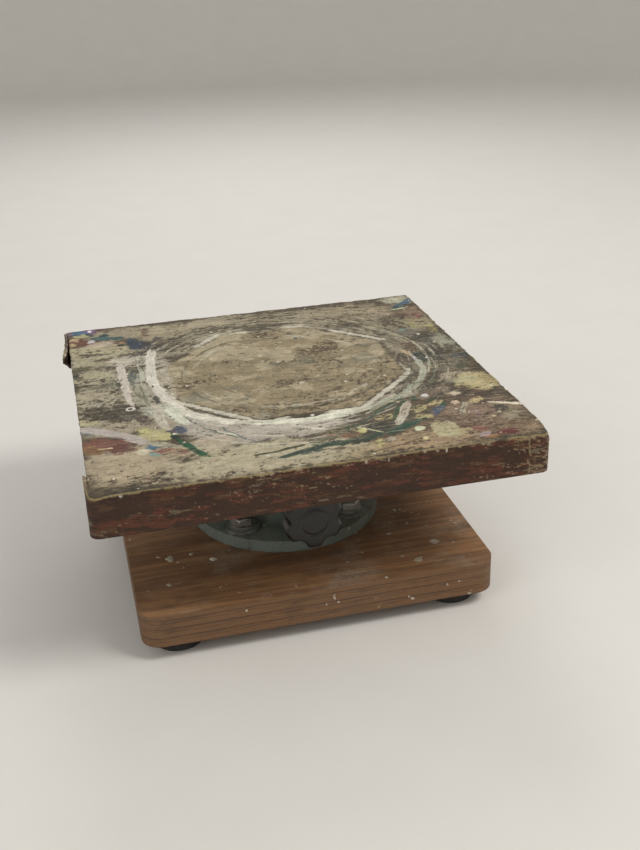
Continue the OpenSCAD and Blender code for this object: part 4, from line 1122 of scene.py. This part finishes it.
def cage_look():
    """Pressed brass sheet, greasy."""
    n = Nodes("pressed_cage")
    marks = n.noise(1.4, 5.0, 0.65)
    colour = n.mix(n.noise(4.0), rgb(168, 138, 88), rgb(124, 98, 60))
    colour = n.mix(n.step(marks, 0.5, 0.75) * 0.5, colour, rgb(60, 46, 30))
    return n.done(colour, n.blend(marks, 0.25, 0.5), 1.0, n.bump(marks, 0.04, 0.6))


def drip_look():
    """Plaster and clay that dried where it fell."""
    n = Nodes("dried_plaster")
    tint = n.mix(n.step(n.noise(14.0), 0.4, 0.62), rgb(150, 142, 122), rgb(206, 200, 186))
    tint = n.mix(n.step(n.noise(0.8, 4.0), 0.5, 0.75) * 0.3, tint, rgb(110, 100, 82))
    return n.done(tint, 0.9, 0.0, n.bump(n.noise(0.7, 4.0, 0.7), 0.2, 0.8))


# ---------- Turned and threaded pieces ----------


def threaded(z0, z1, point):
    """A right hand M8 thread from z0 to z1, fading out at both ends, with a chamfered point at z0."""
    sides, rows_per_turn = 36, 8
    rows = int((z1 - z0) / M8_PITCH * rows_per_turn)
    tip = M8_RADIUS - point

    def warp(radius, angle, height):
        turn = (height / M8_PITCH - angle / FULL) % 1.0
        groove = np.clip(1.0 - abs(turn - 0.5) / 0.42, 0.0, 1.0)
        fade = smooth((height - z0) / M8_PITCH) * smooth((z1 - height) / M8_PITCH)
        return radius - M8_DEPTH * groove * fade * (height > z0)

    profile = [(tip, z0)]
    profile += [(min(M8_RADIUS, tip + (z - z0) * 1.4 + 0.15), z) for z in np.linspace(z0, z1, rows + 1)[1:]]
    return turned(profile, sides, warp)


def hex_head(flats, z0, z1):
    """A forged hexagon head: chamfered on top, flat under, with a slight dish in its face."""
    sides, wedge, corner = 72, np.pi / 6, flats / np.sqrt(3)

    def warp(radius, angle, height):
        flat = flats / 2 / np.cos((angle + wedge) % (2 * wedge) - wedge)
        chamfer = corner - np.clip(height - (z1 - 0.95), 0, None) * 1.7
        return np.minimum(radius, np.minimum(flat, chamfer))

    profile = [(flats / 2 - 0.2, z0)]
    profile += [(corner + 1.0, z) for z in [z0 + 0.15, *np.linspace(z0 + 0.5, z1, 13)]]
    profile += [(flats / 2 - 0.9, z1), (flats / 2 - 1.5, z1 - 0.18), (1.2, z1 - 0.3)]
    return turned(profile, sides, warp)


def build_bolts(look):
    """Four M8 bolts through the pedestal's flange, the base board and their nuts."""
    across, head_low, head_high, tip, circle = 13.0, 41.1, 46.4, 11.0, 48.0
    bolt = joined([hex_head(across, head_low, head_high), threaded(tip, head_low + 0.1, 0.7)])
    bolts = []
    for k in range(4):
        a = np.pi / 4 + k * np.pi / 2
        bolts.append(moved(bolt, circle * np.cos(a), circle * np.sin(a), 0.3 + 0.7 * k))
    finish_piece(new_mesh("hex_bolts", *joined(bolts)), "base", "fasteners", [look], "pedestal_bolts")


def build_lock_screw(look):
    """The stud that pushes the brake shoe."""
    start, end = 19.02, 82.0
    thing = new_mesh("threaded_stud", *along_lock(threaded(start, end, 0.6)))
    finish_piece(thing, "lock", "fasteners", [look], "lock_screw")


def build_knob(look):
    """A six lobed hand knob; its neck faces the pedestal."""
    radius, neck, near, far, bore, deep = 18.0, 11.0, 66.0, 86.0, 7.0, 15.0
    lobes, scoop, scoop_at = 6, 5.5, 20.0
    near_r, far_r = 2.2, 3.4

    def star(r_now, angle, _):
        turn = (angle + np.pi / lobes) % (FULL / lobes) - np.pi / lobes
        inside = scoop**2 - (scoop_at * np.sin(turn)) ** 2
        hollow = scoop_at * np.cos(turn) - np.sqrt(np.clip(inside, 0, None))
        reach = np.where(inside > 0, np.minimum(radius, hollow), radius)
        soft = 0.5 * reach + 0.25 * (np.roll(reach, 2, 1) + np.roll(reach, -2, 1))
        share = np.clip((r_now - neck) / (radius - neck), 0, 1)
        return np.where(r_now > neck, neck + (soft - neck) * share, r_now)

    outline = [(bore, near + deep), (bore, near + 0.6), (bore + 0.6, near), (neck - 0.8, near)]
    outline += [(neck, near + 0.8), (neck, near + 4.2), (neck + 0.3, near + 4.8), (neck + 0.9, near + 5.0)]
    for a in np.linspace(0, np.pi / 2, 7):
        outline.append((radius - near_r + near_r * np.sin(a), near + 7.2 - near_r * np.cos(a)))
    outline += [(radius, z) for z in np.linspace(near + 8, far - 4.2, 8)]
    for a in np.linspace(0, np.pi / 2, 9):
        outline.append((radius - far_r + far_r * np.cos(a), far - 3.9 + far_r * np.sin(a)))
    # a slightly domed end with a ring sunk in it
    ends = [(12.6, 0.35), (10.0, 0.1), (9.0, 0.1), (8.6, 0.5), (8.2, 0.5), (7.9, 0.1), (6.0, 0.02)]
    outline += [(r, far - down) for r, down in ends + [(3.0, 0.0), (0.6, 0.0)]]
    thing = new_mesh("star_knob", *along_lock(turned(outline, 180, star)))
    finish_piece(thing, "lock", "knob_plastic", [look], "lock_knob")


def build_feet(look):
    """Four turned rubber feet with a grip ring and a well for the screw."""
    at, sides = 83.0, 64
    profile = [(5.6, 5.2), (5.6, 1.2), (6.4, 0.35), (7.4, 0.0)]
    for r in (8.6, 10.4, 12.2):
        profile += [(r - 0.5, 0.0), (r - 0.15, 0.45), (r + 0.15, 0.45), (r + 0.5, 0.0)]
    profile += [(13.7, 0.0), (14.5, 0.3), (15.0, 1.1), (15.0, 2.2), (14.75, 2.6), (14.75, 3.2)]
    profile += [(15.0, 3.6), (14.9, 6.0), (14.4, 8.6), (14.0, 9.6), (13.4, 10.0), (5.0, 10.0)]
    foot = turned(profile, sides)
    feet = [moved(foot, sx * at, sy * at) for sx in (-1, 1) for sy in (-1, 1)]
    thing = new_mesh("rubber_feet_turned", *joined(feet))
    finish_piece(thing, "base", "rubber", [look], "rubber_feet")


# ---------- CAD nodes that keep their own shape ----------


def soften(width, segments, *nodes):
    """Breaks the sharp edges of CAD nodes, as a casting's or a sanded board's are."""
    for node in nodes:
        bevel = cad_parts[node].modifiers.new("soft_edges", "BEVEL")
        bevel.width = width * MM
        bevel.segments = segments
        bevel.limit_method = "ANGLE"
        bevel.angle_limit = np.radians(35)
        bevel.harden_normals = True
        bevel.use_clamp_overlap = True


def dress(look, *nodes):
    """Gives CAD nodes one material and smooth shading."""
    for node in nodes:
        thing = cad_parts[node]
        thing.data.materials.clear()
        thing.data.materials.append(look)
        thing.data.shade_smooth()
        thing.data.set_sharp_from_angle(angle=np.radians(30))


# ---------- Drips ----------


def blob(x, y, z, rx, ry, rz, seed):
    """A lumpy drop of plaster lying on a surface that faces up."""
    rings, sides = 7, 20
    rng = np.random.default_rng(seed)
    phase, wobble = rng.uniform(0, FULL, 3), rng.uniform(0.05, 0.16, 3)
    theta = np.linspace(0.02, np.pi / 2, rings)
    t, a = np.meshgrid(theta, np.arange(sides) * FULL / sides, indexing="ij")
    lump = 1 + sum(w * np.cos((k + 2) * a + p) for k, (w, p) in enumerate(zip(wobble, phase)))
    across, along = rx * np.sin(t) * np.cos(a) * lump, ry * np.sin(t) * np.sin(a) * lump
    dome = np.stack([across, along, rz * np.cos(t)], -1)
    skirt = dome[-1:] * (0.97, 0.97, 0) - (0, 0, 0.25)
    points = np.concatenate([dome, skirt]).reshape(-1, 3) + (x, y, z)
    return points, tube_faces(rings + 1, sides, True)


def build_drips(look):
    """Plaster spilt on the base board and the foot of the pedestal."""
    rng = np.random.default_rng(41)
    half, z_board, z_flange, flange_r, sunk = 103.0, 30.0, 38.0, 58.0, 0.05
    lumps = []
    for k in range(46):
        x, y = rng.uniform(-half + 4, half - 4, 2)
        r = 0.7 + 3.0 * rng.random() ** 3
        # none under the pedestal or at the board's corners
        if np.hypot(x, y) < 63 or abs(x) + abs(y) > 1.8 * half:
            continue
        lumps.append(blob(x, y, z_board - sunk, r, r * rng.uniform(0.8, 1.2), 0.25 + 0.2 * r, k))
    for k in range(14):
        a, r = rng.uniform(0, FULL), 0.6 + 1.4 * rng.random() ** 2
        at = rng.uniform(41, flange_r - 3)
        # none on a bolt head
        if abs((a % (FULL / 4)) - FULL / 8) < 0.25:
            continue
        lumps.append(blob(at * np.cos(a), at * np.sin(a), z_flange - sunk, r, r, 0.3 + 0.15 * r, 100 + k))
    finish_piece(new_mesh("plaster_spots", *joined(lumps)), "base", "plywood_base", [look])


# ---------- Stage, lights and camera ----------


def build_stage():
    """A pale floor that curves up into a round wall on all sides."""
    floor_r, cove, wall, sides = 2.2, 0.5, 1.6, 96
    profile = [(0.001, 0.0)] + [(r, 0.0) for r in np.linspace(0.1, floor_r, 12)]
    bend = np.linspace(0.1, np.pi / 2, 12)
    profile += [(floor_r + cove * np.sin(a), cove - cove * np.cos(a)) for a in bend]
    profile += [(floor_r + cove, z) for z in np.linspace(cove + 0.1, cove + wall, 6)]
    points, (walls, caps) = turned(np.array(profile) / MM, sides)
    thing = new_mesh("studio_floor", points, [walls, caps[:1]])
    n = Nodes("studio_paper")
    tint = n.mix(n.noise(60.0, 3.0), rgb(206, 203, 198), rgb(212, 209, 204))
    # painted light: the paper is painted paler the higher it rises, a painted brightening of the wall
    tint = n.mix(n.step(n.height(), 100.0, 1200.0), tint, rgb(236, 234, 230))
    thing.data.materials.append(n.done(tint, 0.9, 0.0, n.bump(n.noise(0.8, 3.0), 0.05, 0.3)))


def area_light(name, place, size, power, tint=(1.0, 1.0, 1.0)):
    """A round light aimed at the middle of the turntable."""
    light = bpy.data.lights.new(name, "AREA")
    light.shape = "DISK"
    light.size = size
    light.energy = power
    light.color = tint
    thing = bpy.data.objects.new(name, light)
    thing.location = place
    middle = Vector((0.0, 0.0, 0.08))
    thing.rotation_euler = (middle - Vector(place)).to_track_quat("-Z", "Y").to_euler()
    bpy.context.scene.collection.objects.link(thing)


def build_lights():
    """A warm key light at the front right, a wide fill at the front left and a light behind, all under
    an even pale sky."""
    world = bpy.data.worlds.new("studio")
    world.use_nodes = True
    background = world.node_tree.nodes["Background"]
    background.inputs["Color"].default_value = (1.0, 0.985, 0.96, 1.0)
    background.inputs["Strength"].default_value = 0.5
    bpy.context.scene.world = world
    area_light("key", (0.9, -0.7, 1.5), 0.7, 18.2, (1.0, 0.98, 0.94))
    area_light("fill", (-1.2, -0.9, 0.9), 1.2, 8.0)
    area_light("rim", (0.2, 1.3, 1.1), 0.8, 7.5)


def build_camera():
    """Same place, lens, turn and roll as the photograph's, tilted down to show the whole turntable."""
    place, lens, sensor = (-0.1229, -0.6156, 0.3785), 46.4, 36.0
    yaw, pitch, roll = np.radians((13.55, 25.0, -1.88))
    forward = Vector((np.sin(yaw) * np.cos(pitch), np.cos(yaw) * np.cos(pitch), -np.sin(pitch)))
    level = Vector((np.cos(yaw), -np.sin(yaw), 0.0))
    above = level.cross(forward)
    right = np.cos(roll) * level + np.sin(roll) * above
    up = np.cos(roll) * above - np.sin(roll) * level
    data = bpy.data.cameras.new("camera")
    data.lens = lens
    data.sensor_width = sensor
    data.sensor_fit = "AUTO"
    camera = bpy.data.objects.new("camera", data)
    turn = Matrix((right, up, -forward)).transposed().to_4x4()
    camera.matrix_world = Matrix.Translation(place) @ turn
    bpy.context.scene.collection.objects.link(camera)
    bpy.context.scene.camera = camera


# ---------- The whole turntable ----------


scene = bpy.context.scene
scene.view_settings.view_transform = "Standard"
scene.view_settings.look = "None"

pale_birch, dark_birch = rgb(176, 142, 100), rgb(124, 92, 58)
top_ply = painted_ply("birch_ply_painted", Z_BOARD, Z_TOP - Z_BOARD, 9, pale_birch, dark_birch)
base_ply = varnished_ply("birch_ply_varnished", 10.0, 20.0, 7, rgb(150, 110, 72), rgb(100, 70, 44))
# layers so thick that the edging shows only one
strip_wood = painted_ply("edging_wood", Z_BOARD - 400, 24.0, 0.02, rgb(132, 94, 62), rgb(78, 50, 34))
iron = cast_iron_look()
zinc = steel_look(
    "zinc_plated_steel", rgb(188, 188, 184), rgb(132, 130, 122), 0.3, 0.5,
    turned_marks=False, rusty=0.35, dusty=0.3,
)
ground = steel_look("ground_steel", rgb(196, 194, 190), rgb(150, 146, 138), 0.16, 0.34)
bright = steel_look("bearing_steel", rgb(206, 206, 204), rgb(170, 166, 158), 0.1, 0.24)

crust = paint_top()
build_top(crust, [crust_look(), top_ply])
build_edging(crust, strip_wood)
build_bolts(zinc)
build_lock_screw(zinc)
build_knob(knob_look())
build_feet(rubber_look())
build_drips(drip_look())

dress(base_ply, "base_board")
dress(iron, "head_flange", "pedestal")
dress(ground, "spindle")
dress(bright, "thrust_upper_race", "thrust_lower_race", "thrust_balls")
dress(bright, "radial_outer_ring", "radial_inner_ring", "radial_balls")
dress(cage_look(), "thrust_cage", "radial_cage")
dress(felt_look(), "felt_seal")
dress(brass_look(), "brake_shoe", "knob_insert")
dress(zinc, "board_screws", "head_pin", "bearing_circlip", "tab_washer", "spindle_nut")
dress(zinc, "bolt_washers", "nut_washers", "pedestal_nuts", "foot_washers", "foot_screws")
soften(0.8, 3, "base_board")
soften(0.5, 3, "head_flange", "pedestal")
soften(0.25, 2, "bolt_washers", "pedestal_nuts", "knob_insert")
soften(0.25, 2, "thrust_upper_race", "thrust_lower_race", "spindle_nut")

build_stage()
build_lights()
build_camera()
